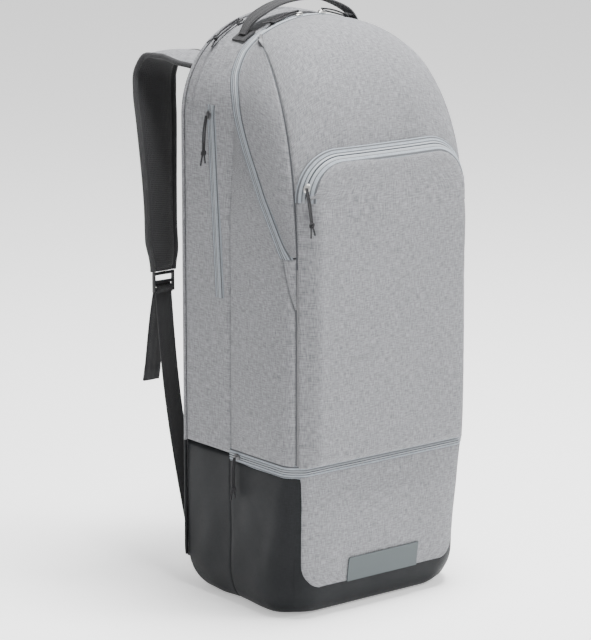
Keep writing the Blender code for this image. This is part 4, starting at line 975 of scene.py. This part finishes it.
archPlate("backPanel", looks["mesh"], "spacer_mesh", ("back_panel",), 0.003, bag["baseTopZ"], 0.1049, 0.004)
archPlate("rearDivider", looks["lining"], "lining_fabric", ("rear_divider",), 0.005, 0.1985, 0.076, 0.003)
clothPanel("shoeDivider", dividerAt, liningLook, "pack", "lining_fabric", ("shoe_divider",), cell=0.012,
           wave=0.0, wall=0.005, outward=towards(0.0, 0.0, 1.0), **flatPanel)
clothPanel("sidePocketBag", hangingBagAt, liningLook, "pack", "lining_fabric", ("side_pocket_bag",),
           cell=0.010, wave=0.0009, wall=0.0012, outward=towards(1.0, 0.0, 0.0), **flatPanel)

pad = {"half": 0.108, "low": 0.110, "top": 0.618, "y": 0.1056, "height": 0.012, "edgeRun": 0.024,
       "spineRun": 0.020, "channels": (0.270, 0.440), "channelRun": 0.016}


def padRise(x, z):
    # round edges, a channel down the spine and two across
    edge = min(pad["half"] - abs(x), z - pad["low"], pad["top"] - z)
    rise = math.sqrt(max(1 - (1 - min(max(edge, 0.0) / pad["edgeRun"], 1.0)) ** 2, 0.0))
    rise *= 0.30 + 0.70 * ease(abs(x) / pad["spineRun"])
    for channel in pad["channels"]:
        rise *= 0.40 + 0.60 * ease(abs(z - channel) / pad["channelRun"])
    return rise


def padAt(u, v):
    x, z = mix(-pad["half"], pad["half"], u), mix(pad["low"], pad["top"], v)
    return Vector((x, pad["y"] + 0.0015 + pad["height"] * padRise(x, z), z))


backPad = clothPanel("backPad", padAt, [looks["mesh"], looks["mesh"]], "pack", "spacer_mesh", ("back_pad",),
                     cell=0.005, wave=0.0006, seed=11.0, wall=0.0015, outward=towards(0.0, 1.0, 0.0),
                     **flatPanel)
print("pocket, base and back made")


# half a zip from the tape's hem to the coil: offset and height in millimetres, then the look of each run; on
# a tape zip, look 2 is painted shade, giving dark lines where the panel's fold meets the tape, beside the
# coil and in its middle gap
chainProfile = [(8.5, -1.2), (7.6, -0.5), (6.3, -0.1), (5.7, 0.1), (3.3, 0.15), (2.5, -0.35), (2.0, 0.3),
                (1.5, 0.65), (0.95, 0.6), (0.5, 0.2), (0.12, -0.8)]
chainLooks = (0, 2, 2, 0, 2, 1, 1, 1, 1, 2)
chain = {"proud": 0.0004, "under": 0.0012, "columnRun": 0.0012}


def zipHalf(name, surfaceAt, count, sideSign, body, replaced, tape="tape"):
    # half a closed zip: a woven tape with its rolled edge and half the coil
    offsets = [sideSign * a / 1000 for a, _ in chainProfile]
    heights = np.array([h / 1000 for _, h in chainProfile])[None, :, None]
    points = np.array([[surfaceAt(k / count, offset) for offset in offsets] for k in range(count + 1)])
    normals = gridNormals(points, fromBagCore)
    top = points + normals * (heights + chain["proud"])
    under = points - normals * (chain["under"] - np.minimum(heights, 0.0))
    rows = np.concatenate([top, under[:, ::-1]], axis=1)
    steps = np.linalg.norm(np.diff(points[:, 3], axis=0), axis=1)
    run = np.concatenate([[0.0], np.cumsum(steps)])
    around = [i * chain["columnRun"] for i in range(rows.shape[1] + 1)]
    bm = bmesh.new()
    loopedMesh(bm, rows, around, run,
               lambda column: chainLooks[column] if column < len(chainLooks) else 0, 1e-7)
    closeEnds(bm)
    coil = "coil" if tape == "tape" else tape
    # the dark runs get painted shade on a tape zip, and plain canvas on the canvas zip
    shade = "gapShade" if tape == "tape" else tape
    makePiece(name, bm, [looks[tape], looks[coil], looks[shade]], body, replaced, angle=60)


def mainZipAt(run, offset):
    path = mix(-zipPath, zipPath, run)
    return bandPoint(1 if path > 0 else -1, abs(path), zipEdge(abs(path), offset / zips["tape"]))


def pocketZipSurface(run, offset):
    # it stops short of the fold line at both ends
    x, z, dx, dz = pocketZipAt(mix(0.060, 0.940, run))
    return pocketFace(x + dx * offset, z + dz * offset, max(offset + zips["tape"], 0.0))


def shoeZipSurface(run, offset):
    # round the front from one gusset seam to the other
    reach = bag["gussetSeamY"]
    z = zips["shoeZ"] + offset
    corner = cornerSeamDepth(z)
    sideRun, frontRun = reach - corner, 2 * seamAt(z)
    place = run * (2 * sideRun + frontRun)
    if place < sideRun:
        return sidePoint(-1, mix(reach, corner, place / sideRun), z)
    if place > sideRun + frontRun:
        return sidePoint(1, mix(corner, reach, (place - sideRun - frontRun) / sideRun), z)
    x = place - sideRun - seamAt(z)
    return frontPoint(x, z, shoeProud(x) * 0.8)


def shoeZipPart(low, high):
    return lambda run, offset: shoeZipSurface(mix(low, high, run), offset)


def sideZipSurface(run, offset):
    (topY, topZ), (lowY, lowZ) = zips["sideTop"], zips["sideLow"]
    path = mix(pathAtHeight(lowZ), pathAtHeight(topZ), run)
    z = arch(path)[1]
    y = mix(lowY, topY, (z - lowZ) / (topZ - lowZ)) + offset
    x, z = arch(path, zips["surfaceRise"])
    return Vector((-x, y, z))


def rearZipSurface(run, offset):
    x, z = arch(mix(-sideTopPath, sideTopPath, run), zips["surfaceRise"])
    return Vector((x, zips["rearY"] + offset, z))


zipHalf("mainZipRear", mainZipAt, 260, 1, "pack", ("main_zip_rear_tape",))
zipHalf("mainZipFlap", mainZipAt, 260, -1, "flap", ("main_zip_flap_tape",))
zipHalf("pocketZipFlap", pocketZipSurface, 160, -1, "flap", ("pocket_zip_flap_tape",))
zipHalf("pocketZipCover", pocketZipSurface, 160, 1, "pocket_top", ("pocket_zip_cover_tape",))
sideRun = bag["gussetSeamY"] - cornerSeamDepth(zips["shoeZ"])
frontShare = sideRun / (2 * sideRun + 2 * seamAt(zips["shoeZ"]))
zipHalf("shoeZipUpper", shoeZipSurface, 220, 1, "pack", ("shoe_zip_upper_tape",))
zipHalf("shoeZipCover", shoeZipPart(frontShare, 1 - frontShare), 140, -1, "shoe_front",
        ("shoe_zip_cover_tape",))
zipHalf("shoeZipLeft", shoeZipPart(0.0, frontShare), 60, -1, "pack", ("shoe_zip_side_left",))
zipHalf("shoeZipRight", shoeZipPart(1 - frontShare, 1.0), 60, -1, "pack", ("shoe_zip_side_right",))
for number, sign in (("Front", -1), ("Rear", 1)):
    zipHalf("sideZip" + number, sideZipSurface, 70, sign, "pack", ("side_zip_tape",) if sign > 0 else ())
    zipHalf("rearZip" + number, rearZipSurface, 120, sign, "pack", ("rear_zip_tape",) if sign > 0 else (),
            tape="canvas")
print("zips made")


def tubePiece(name, route, radius, look, body, replaced=(), sides=8):
    sweptPiece(name, tubeStations(route), ringOutline(radius, sides), [look], body, replaced)


def rearEdgePoint(path):
    x, z = arch(path, 0.0006)
    return Vector((x - math.copysign(sag["sideTurn"] * underShare(z), x), rearAt(z) + 0.0012, z))


# bound edges at the back, and thin dark tubes of painted shade along the seams at the front corners and
# beside the flap
edge = {"radius": 0.0021, "lowZ": 0.040, "cornerRadius": 0.0011, "flapRadius": 0.0010, "flapShare": 0.955}
low, joint = pathAtHeight(edge["lowZ"]), pathAtHeight(zips["shoeZ"])
rearRoute = [rearEdgePoint(path) for path in np.linspace(-joint, joint, 200)]
tubePiece("backBinding", rearRoute, edge["radius"], looks["canvas"], "pack",
          ("back_binding",), 12)
for side, hand in hands:
    rearRoute = [rearEdgePoint(side * path) for path in np.linspace(joint, low, 30)]
    tubePiece("baseBinding_" + hand, rearRoute, edge["radius"], looks["coated"], "pack",
              sides=12)
    # painted shade: a thin near-black tube stands for the shadow in the front corner seam
    cornerRoute = [Vector((side * (seamAt(z) - 0.0006), cornerSeamDepth(z) + 0.0016, z))
                   for z in np.linspace(upperTapeZ, zips["mainLowZ"] - 0.004, 60)]
    tubePiece("cornerShade_" + hand, cornerRoute, edge["cornerRadius"], looks["gapShade"], "pack")
# painted shade: a thin near-black tube stands for the shadow in the seam beside the flap
for side, hand in hands:
    inward = Vector((-side * 0.0014, 0.0012, -0.0010))
    flapRoute = [flapPoint(side, k / 119 * edge["flapShare"]) + inward for k in range(120)]
    tubePiece("flapSeamShade_" + hand, flapRoute, edge["flapRadius"], looks["gapShade"], "flap")


# a slider: shares of its width along its body, and its bridge from the side
slider = {"half": 0.0056, "wide": 0.0040, "thick": 0.0011, "bridgeWidth": 0.0030, "bridgeThick": 0.0009,
          "plan": ((-1.0, 0.42), (-0.8, 0.62), (-0.45, 0.92), (-0.1, 1.0), (0.3, 0.92), (0.6, 0.74),
                   (0.85, 0.6), (1.0, 0.45)),
          "bridge": ((-0.0042, 0.0020), (-0.0040, 0.0032), (-0.0028, 0.0037), (0.0, 0.0039), (0.0028, 0.0037),
                     (0.0042, 0.0031), (0.0044, 0.0020))}


def squared(value):
    return math.copysign(abs(value) ** 0.5, value)


def sliderPiece(name, middle, along, out, body, look, replaced):
    ahead, up = Vector(along).normalized(), Vector(out).normalized()
    side = ahead.cross(up)
    bm = bmesh.new()
    stations = [(Vector(middle) + ahead * step * slider["half"] + up * slider["thick"], side, up, wide,
                 1.0 if abs(step) < 0.9 else 0.6) for step, wide in slider["plan"]]
    turns = np.linspace(0, 2 * math.pi, 17)[:-1]
    sweptMesh(bm, stations, [(slider["wide"] * squared(math.cos(turn)),
                              slider["thick"] * squared(math.sin(turn))) for turn in turns])
    bridge = [Vector(middle) + ahead * a + up * h for a, h in slider["bridge"]]
    sweptMesh(bm, bandStations(bridge, side),
              flatOutline(slider["bridgeWidth"], slider["bridgeThick"], steps=2))
    makePiece(name, bm, [look], body, replaced, angle=40)


pull = {"radius": 0.0011, "knotRadius": 0.0034, "knotCord": 0.00105, "turnShare": 0.74, "apart": 0.0011,
        "bulge": 0.0007, "flare": 0.0034, "farShare": 0.8}


def knotMesh(bm, centre, ahead, radius, cord):
    # an overhand knot, drawn tight
    ahead = ahead.normalized()
    side = ahead.cross(Vector((0.3, 0.5, 0.8))).normalized()
    up = ahead.cross(side)
    loop = []
    for k in range(49):
        t = 2 * math.pi * k / 48
        a = math.sin(t) + 2 * math.sin(2 * t)
        b = math.cos(t) - 2 * math.cos(2 * t)
        c = -math.sin(3 * t)
        loop.append(centre + (side * a * 0.24 + up * b * 0.24 + ahead * c * 0.62) * radius)
    sweptMesh(bm, tubeStations(loop), ringOutline(cord * 1.25, 8))


def pullPiece(name, points, body, replaced):
    # two strands side by side down to a knot, then two short ends
    middle = smoothRoute(points, 40)
    turnAt = int(len(middle) * pull["turnShare"])
    first = (middle[1] - middle[0]).normalized()
    spread = first.cross(Vector((0.2, -0.8, 0.3))).normalized()
    bm = bmesh.new()
    knotMesh(bm, middle[turnAt], middle[turnAt] - middle[turnAt - 1], pull["knotRadius"], pull["knotCord"])
    knot = makePiece(name + "_knot", bm, [looks["cord"]], body, angle=60)
    for sign, part in ((1, "near"), (-1, "far")):
        strand = []
        for k, point in enumerate(middle):
            past = max(k - turnAt, 0) / (len(middle) - 1 - turnAt)
            if past > (1.0 if sign > 0 else pull["farShare"]):
                break
            bulge = pull["bulge"] * math.sin(math.pi * min(k / turnAt, 1.0))
            apart = pull["apart"] + bulge + pull["flare"] * past
            strand.append(point + spread * sign * apart)
        piece = sweptPiece(f"{name}_{part}", tubeStations(strand), ringOutline(pull["radius"], 10),
                           [looks["cord"]], body, replaced if sign > 0 else (), angle=60)


def overCrown(turn, radius, y):
    return Vector((radius * math.sin(turn), y, crownZ + radius * math.cos(turn)))


# where each slider rests, and how long its pull hangs
seats = {"mainTurn": 0.098, "rearTurn": -0.38, "pocketShare": 0.11, "pocketPull": 0.058, "sideDrop": 0.012,
         "sidePull": 0.062, "shoeSlide": 0.016, "shoePull": 0.054, "pin": 0.0049}
for side, hand in hands:
    turn = side * seats["mainTurn"]
    top = bag["crownRadius"] + 0.0004
    sliderPiece("mainSlider_" + hand, overCrown(turn, top + 0.0004, bag["leanEndY"]),
                (math.cos(turn), 0.0, -math.sin(turn)), (math.sin(turn), 0.0, math.cos(turn)),
                "main_slider_" + hand, looks["metal"], ("main_slider_" + hand,))
    # the pull lies on the crown, outwards from its pin
    route = [overCrown(turn, top + 0.0055, bag["leanEndY"])]
    route += [overCrown(turn + side * 0.30 * k / 5, top + max(0.0055 - 0.0006 * k, 0.0036),
                        bag["leanEndY"] + 0.0004 * k) for k in range(1, 6)]
    pullPiece("mainPull_" + hand, route, "main_pull_" + hand, ("main_pull_" + hand,))

turn = seats["rearTurn"]
top = bag["crownRadius"] + 0.0028
sliderPiece("rearSlider", overCrown(turn, top, zips["rearY"]), (math.cos(turn), 0.0, -math.sin(turn)),
            (math.sin(turn), 0.0, math.cos(turn)), "rear_slider", looks["darkMetal"], ("rear_slider",))
route = [overCrown(turn - 0.06 * k, top + 0.0052 - 0.0002 * k, zips["rearY"]) for k in range(6)]
pullPiece("rearPull", route, "rear_pull", ("rear_pull",))


def hangRoute(pin, out, length, lean=(0.0, 0.0, 0.0)):
    pin, out, lean = Vector(pin), Vector(out), Vector(lean)
    return [pin + out * 0.0025 * ease(3 * share) + Vector((0, 0, -length * share)) + lean * share
            for share in np.linspace(0.0, 1.0, 6)]


x, z, dx, dz = pocketZipAt(seats["pocketShare"])
slope = (pocketRise(zips["tape"] + 0.0004) - pocketRise(zips["tape"] - 0.0004)) / 0.0008
out = Vector((-dx * slope, -1.0, -dz * slope)).normalized()
seat = pocketFace(x, z, zips["tape"]) + out * 0.0008
sliderPiece("pocketSlider", seat, (-dz, 0.0, dx), out, "pocket_slider", looks["metal"], ("pocket_slider",))
route = hangRoute(seat + out * 0.0054, (0.0, -1.0, 0.0), seats["pocketPull"], (-0.001, -0.012, 0.0))
pullPiece("pocketPull", route, "pocket_pull", ("pocket_pull",))

(topY, topZ), (lowY, lowZ) = zips["sideTop"], zips["sideLow"]
topZ -= seats["sideDrop"]
x = arch(pathAtHeight(topZ), 0.0016 + 0.0012)[0]
middle = Vector((-x - 0.0004, topY - 0.0008, topZ))
sliderPiece("sideSlider", middle, (0.0, lowY - topY, lowZ - topZ), (-1.0, 0.0, 0.0), "side_slider",
            looks["darkMetal"], ("side_slider",))
pin = Vector((-seats["pin"], 0.0, 0.0))
pullPiece("sidePull", hangRoute(middle + pin, (-1.0, 0.0, 0.0), seats["sidePull"], (0.0, 0.004, 0.0)),
          "side_pull", ("side_pull",))
middle = Vector((-(bag["halfWidth"] + 0.0006), bag["gussetSeamY"] - seats["shoeSlide"], zips["shoeZ"]))
sliderPiece("shoeSlider", middle, (0.0, -1.0, 0.0), (-1.0, 0.0, 0.0), "shoe_slider", looks["darkMetal"],
            ("shoe_slider",))
pullPiece("shoePull", hangRoute(middle + pin, (-1.0, 0.0, 0.0), seats["shoePull"]), "shoe_pull",
          ("shoe_pull",))
print("sliders and pulls made")


def archAlong(x):
    # run along the outline to a point on the shoulder
    rise = math.sqrt(bag["shoulderRadius"] ** 2 - (x - shoulderX) ** 2)
    return crownLength + bag["shoulderRadius"] * (math.atan2(x - shoulderX, rise) - crownAngle)


alongY, alongX = (0.0, 1.0, 0.0), (1.0, 0.0, 0.0)
handle = {"y": 0.050, "span": 0.088, "peak": bag["height"] + 0.0185, "width": 0.025, "thickness": 0.0030,
          "crown": 0.0003, "tabThickness": 0.0022, "narrow": 0.55}
base = archAlong(handle["span"])
for side, hand in hands:
    stops = [arch(side * stop, 0.0022) for stop in np.linspace(base - 0.011, base + 0.009, 14)]
    route = [Vector((x, handle["y"], z)) for x, z in stops]
    sweptPiece("handleTab_" + hand, bandStations(route, alongY),
               flatOutline(handle["width"], handle["tabThickness"]), [looks["webbing"]], "pack",
               ("handle_tab_" + hand,))
startX, startZ = arch(base, 0.0044)
knots = [(startX, startZ), (startX - 0.009, startZ + 0.012), (0.050, handle["peak"] - 0.008),
         (0.0, handle["peak"])]
knots = [(-x, handle["y"], z) for x, z in knots] + [(x, handle["y"], z) for x, z in knots[-2::-1]]
route = smoothRoute(knots, 61)
wide = [mix(handle["narrow"], 1.0, ease(5.0 * min(k, 60 - k) / 60)) for k in range(61)]
sweptPiece("topHandle", bandStations(route, alongY, wide),
           flatOutline(handle["width"], handle["thickness"], handle["crown"]), [looks["webbing"]], "handle",
           ("top_handle",))

# a shoulder strap's middle line: from its anchor over the crest and down to its lock
strapKnots = [(0.062, 0.0012, 0.6260), (0.063, 0.0016, 0.6390), (0.070, 0.016, 0.652), (0.081, 0.046, 0.659),
              (0.089, 0.076, 0.664), (0.095, 0.097, 0.659), (0.100, 0.105, 0.641), (0.105, 0.101, 0.616),
              (0.110, 0.091, 0.583), (0.115, 0.080, 0.529), (0.118, 0.073, 0.479), (0.121, 0.067, 0.430),
              (0.124, 0.060, 0.408), (0.124, 0.060, 0.3935)]
strap = {"y": 0.112, "width": 0.065, "thickness": 0.0115, "taper": 0.28, "endTaper": 0.25,
         "lockX": 0.124, "lockY": 0.172, "lockTop": 0.3923, "lockWidth": 0.034, "lockHeight": 0.026,
         "bar": 0.0045, "webbing": 0.025, "webbingThick": 0.0019, "low": (0.1275, 0.1088, 0.082),
         "loopThick": 0.0016, "tail": 0.125, "tailLean": 0.026, "hem": 1.9, "sag": 0.009,
         "edgeWidth": 0.0075, "edgeThick": 0.0070}
loopKnots = [(0.0, -0.0030, -0.0265), (0.0, -0.0034, -0.0215), (0.0, 0.0006, -0.0175), (0.0, 0.0042, -0.0135),
             (0.0, 0.0046, -0.0150), (0.0, 0.0047, -0.0180)]
tab = {"z": 0.079, "height": 0.046, "length": 0.030, "y": 0.1064}


def strapWidthAt(share):
    # it narrows below its crest and again at its lower end
    below, end = ease((share - 0.35) / 0.5), ease((share - 0.9) / 0.1)
    return (1.0 - strap["taper"] * below) * (1.0 - strap["endTaper"] * end)


def webbingPiece(name, stations, outline, body, replaced=()):
    sweptPiece(name, stations, outline, [looks["webbing"]], body, replaced)


for side, hand in hands:
    route = smoothRoute([(side * x, strap["y"] + off, z) for x, off, z in strapKnots], 110)
    half, thick = strap["width"] / 2, strap["thickness"] / 2
    # upper and lower faces are pillowed between bound edges
    outline = []
    for k in range(25):
        a = mix(-half + 0.003, half - 0.003, k / 24)
        crown = math.sin(math.pi * k / 24) ** 0.5 * thick
        seam = -0.0010 * (math.exp(-((abs(a) - half + 0.0085) / 0.0012) ** 2))
        outline.append((a, max(crown, 0.0028) + seam))
    outline = outline + [(-a, -b) for a, b in outline]
    shares = [k / (len(route) - 1) for k in range(len(route))]
    wide = [strapWidthAt(share) * (1.0 if share < 0.985 else 0.93) for share in shares]
    high = [1.0 if 0.012 < share < 0.985 else 0.65 for share in shares]
    made = sweptPiece("shoulderStrap_" + hand, bandStations(route, alongX, wide, high), outline,
                      [looks["canvas"], looks["mesh"]], "strap_" + hand,
                      ("shoulder_strap_" + hand,), angle=60, looksAt=lambda column: 1 if column < 25 else 0)
    for rim in (-1, 1):
        edgeRoute = []
        for share, (point, across, out, _, _) in zip(shares, bandStations(route, alongX)):
            reach = strapWidthAt(share) * (half - 0.0030)
            edgeRoute.append((point + across * rim * reach, across, out, 1.0, 1.0))
        sweptPiece(f"strapBinding_{hand}_{'inner' if rim * side < 0 else 'outer'}", edgeRoute,
                   flatOutline(strap["edgeWidth"], strap["edgeThick"], steps=3), [looks["binding"]],
                   "strap_" + hand)

    # ladder lock: a frame with three bars
    bm = bmesh.new()
    x, y, top = side * strap["lockX"], strap["lockY"], strap["lockTop"]
    reachX, barHalf = strap["lockWidth"] / 2 - strap["bar"] / 2, strap["bar"] / 2
    for drop in (barHalf, strap["lockHeight"] / 2, strap["lockHeight"] - barHalf):
        bar = [Vector((x + reachX * t, y, top - drop)) for t in np.linspace(-1, 1, 7)]
        sweptMesh(bm, tubeStations(bar), ringOutline(barHalf * 0.98, 12))
    for sign in (-1, 1):
        bar = [Vector((x + sign * reachX, y, top - drop)) for drop in
               np.linspace(barHalf * 0.1, strap["lockHeight"] - barHalf * 0.1, 9)]
        sweptMesh(bm, tubeStations(bar), ringOutline(barHalf * 1.02, 12))
    makePiece("ladderLock_" + hand, bm, [looks["plastic"]], "lock_" + hand,
              ("ladder_lock_" + hand,), angle=40)

    # webbing from the lock down to its tab, the loop over the bars, and the loose tail
    lowX, lowY, lowZ = strap["low"]
    low = Vector((side * lowX, lowY, lowZ))
    high = Vector((x, y, top - strap["lockHeight"] - 0.0008))
    route = [low.lerp(high, share) + Vector((0.0, strap["sag"] * math.sin(math.pi * share), 0.0))
             for share in np.linspace(0.0, 1.0, 40)]
    flat = flatOutline(strap["webbing"], strap["webbingThick"])
    webbingPiece("strapWebbing_" + hand, bandStations(route, alongX), flat, "webbing_" + hand,
                 ("strap_webbing_" + hand,))
    route = smoothRoute([Vector((x, y, top)) + Vector(knot) for knot in loopKnots], 26)
    webbingPiece("lockWebbing_" + hand, bandStations(route, alongX),
                 flatOutline(strap["webbing"] * 0.96, strap["loopThick"]), "lock_" + hand)
    tailTop = top - strap["lockHeight"] + strap["bar"]
    route = [Vector((x, y + 0.0042 + strap["tailLean"] * t + 0.0012 * math.sin(5 * t),
                     tailTop - strap["tail"] * t)) for t in np.linspace(0.0, 1.0, 40)]
    high = [1.0 if k < 34 else strap["hem"] for k in range(40)]
    webbingPiece("strapTail_" + hand, bandStations(route, alongX, None, high), flat, "tail_" + hand,
                 ("strap_tail_" + hand,))

    # grey tab that the webbing is sewn into
    def tabAt(u, v, side=side):
        z = tab["z"] + (v - 0.5) * tab["height"] * mix(1.0, 0.5, u)
        return Vector((side * mix(bag["halfWidth"], bag["halfWidth"] - tab["length"], u), tab["y"], z))

    clothPanel("strapTab_" + hand, tabAt, splitLook[:1], "pack", "melange_canvas", ("strap_tab_" + hand,),
               cell=0.004, swell=0.0, tuck=0.0006, wave=0.0003, wall=0.0018, seed=12 + side,
               outward=towards(0.0, 1.0, 0.0))

# label patch, which follows the filled cover
patch = {"width": 0.112, "height": 0.031, "thickness": 0.0012, "z": 0.0545, "rise": 0.0022,
         "coverHalf": 0.129}
bm = bmesh.new()
bmesh.ops.create_grid(bm, x_segments=40, y_segments=12, size=0.5)
for vert in bm.verts:
    x, z = vert.co.x * patch["width"], patch["z"] + vert.co.y * patch["height"]
    filled = shoe["swell"] * ease((z - shoe["lowZ"]) / cloth["fillRun"])
    filled *= ease((patch["coverHalf"] - abs(x)) / cloth["fillRun"])
    vert.co = frontPoint(x, z, shoeProud(x) + filled + patch["rise"])
front = bmesh.ops.extrude_face_region(bm, geom=bm.faces[:])
for item in front["geom"]:
    if isinstance(item, bmesh.types.BMVert):
        item.co.y += patch["thickness"]
makePiece("labelPatch", bm, [looks["patch"]], "shoe_front", ("label_patch",))
print("handle, straps and patch made")

# pale floor just under the bag
bm = bmesh.new()
bmesh.ops.create_grid(bm, x_segments=2, y_segments=2, size=6.0)
for vert in bm.verts:
    vert.co.z = -0.0005
floorMesh = bpy.data.meshes.new("floor")
bm.to_mesh(floorMesh)
bm.free()
floor = linked("floor", floorMesh)
floorLook, _, floorShader = newLook("floorPaper", {"roughness": 0.9})
floorShader.inputs["Base Color"].default_value = (0.985, 0.985, 0.985, 1.0)
floorShader.inputs["Emission Color"].default_value = (1.0, 1.0, 1.0, 1.0)
floorShader.inputs["Emission Strength"].default_value = 0.45
floorMesh.materials.append(floorLook)

# the camera as solved from the photograph
view = {"turn": math.radians(38.6), "rise": math.radians(12.66), "distance": 3.759, "lens": 169.0,
        "aside": -0.0368, "aimZ": 0.3416}
right = Vector((math.cos(view["turn"]), -math.sin(view["turn"]), 0.0))
back = Vector((-math.sin(view["turn"]) * math.cos(view["rise"]),
               -math.cos(view["turn"]) * math.cos(view["rise"]), math.sin(view["rise"])))
target = right * view["aside"] + Vector((0.0, 0.0, view["aimZ"]))
lens = bpy.data.cameras.new("photoCamera")
lens.lens, lens.sensor_width, lens.clip_end = view["lens"], 36.0, 20.0
camera = linked("photoCamera", lens)
camera.location = target + back * view["distance"]
camera.rotation_euler = (-back).to_track_quat("-Z", "Y").to_euler()
bpy.context.scene.camera = camera


def softLight(name, place, power, size, aim=(0.0, 0.0, 0.35)):
    data = bpy.data.lights.new(name, "AREA")
    data.energy, data.size, data.shape = power, size, "DISK"
    lamp = linked(name, data)
    lamp.location = place
    lamp.rotation_euler = (Vector(aim) - Vector(place)).to_track_quat("-Z", "Y").to_euler()


softLight("keyLight", (1.9, -2.2, 2.3), 72.0, 1.2)
softLight("sideLight", (-2.6, -0.6, 1.6), 4.0, 1.4)
softLight("topLight", (0.2, -0.3, 3.0), 210.0, 1.1)
# the room is brighter overhead and on the right
world = bpy.context.scene.world or bpy.data.worlds.new("room")
bpy.context.scene.world = world
world.use_nodes = True
room = world.node_tree
background = next(node for node in room.nodes if node.type == "BACKGROUND")
heading = addNode(room, "ShaderNodeTexCoord")
facing = addNode(room, "ShaderNodeVectorMath", {0: heading.outputs["Generated"], 1: (0.58, -0.22, 0.45)},
                 operation="DOT_PRODUCT")
glow = addNode(room, "ShaderNodeMapRange", {"Value": facing.outputs["Value"], "From Min": -0.7,
                                            "From Max": 0.7, "To Min": 0.04, "To Max": 1.10})
room.links.new(glow.outputs[0], background.inputs[1])
background.inputs[0].default_value = (1.0, 1.0, 1.0, 1.0)
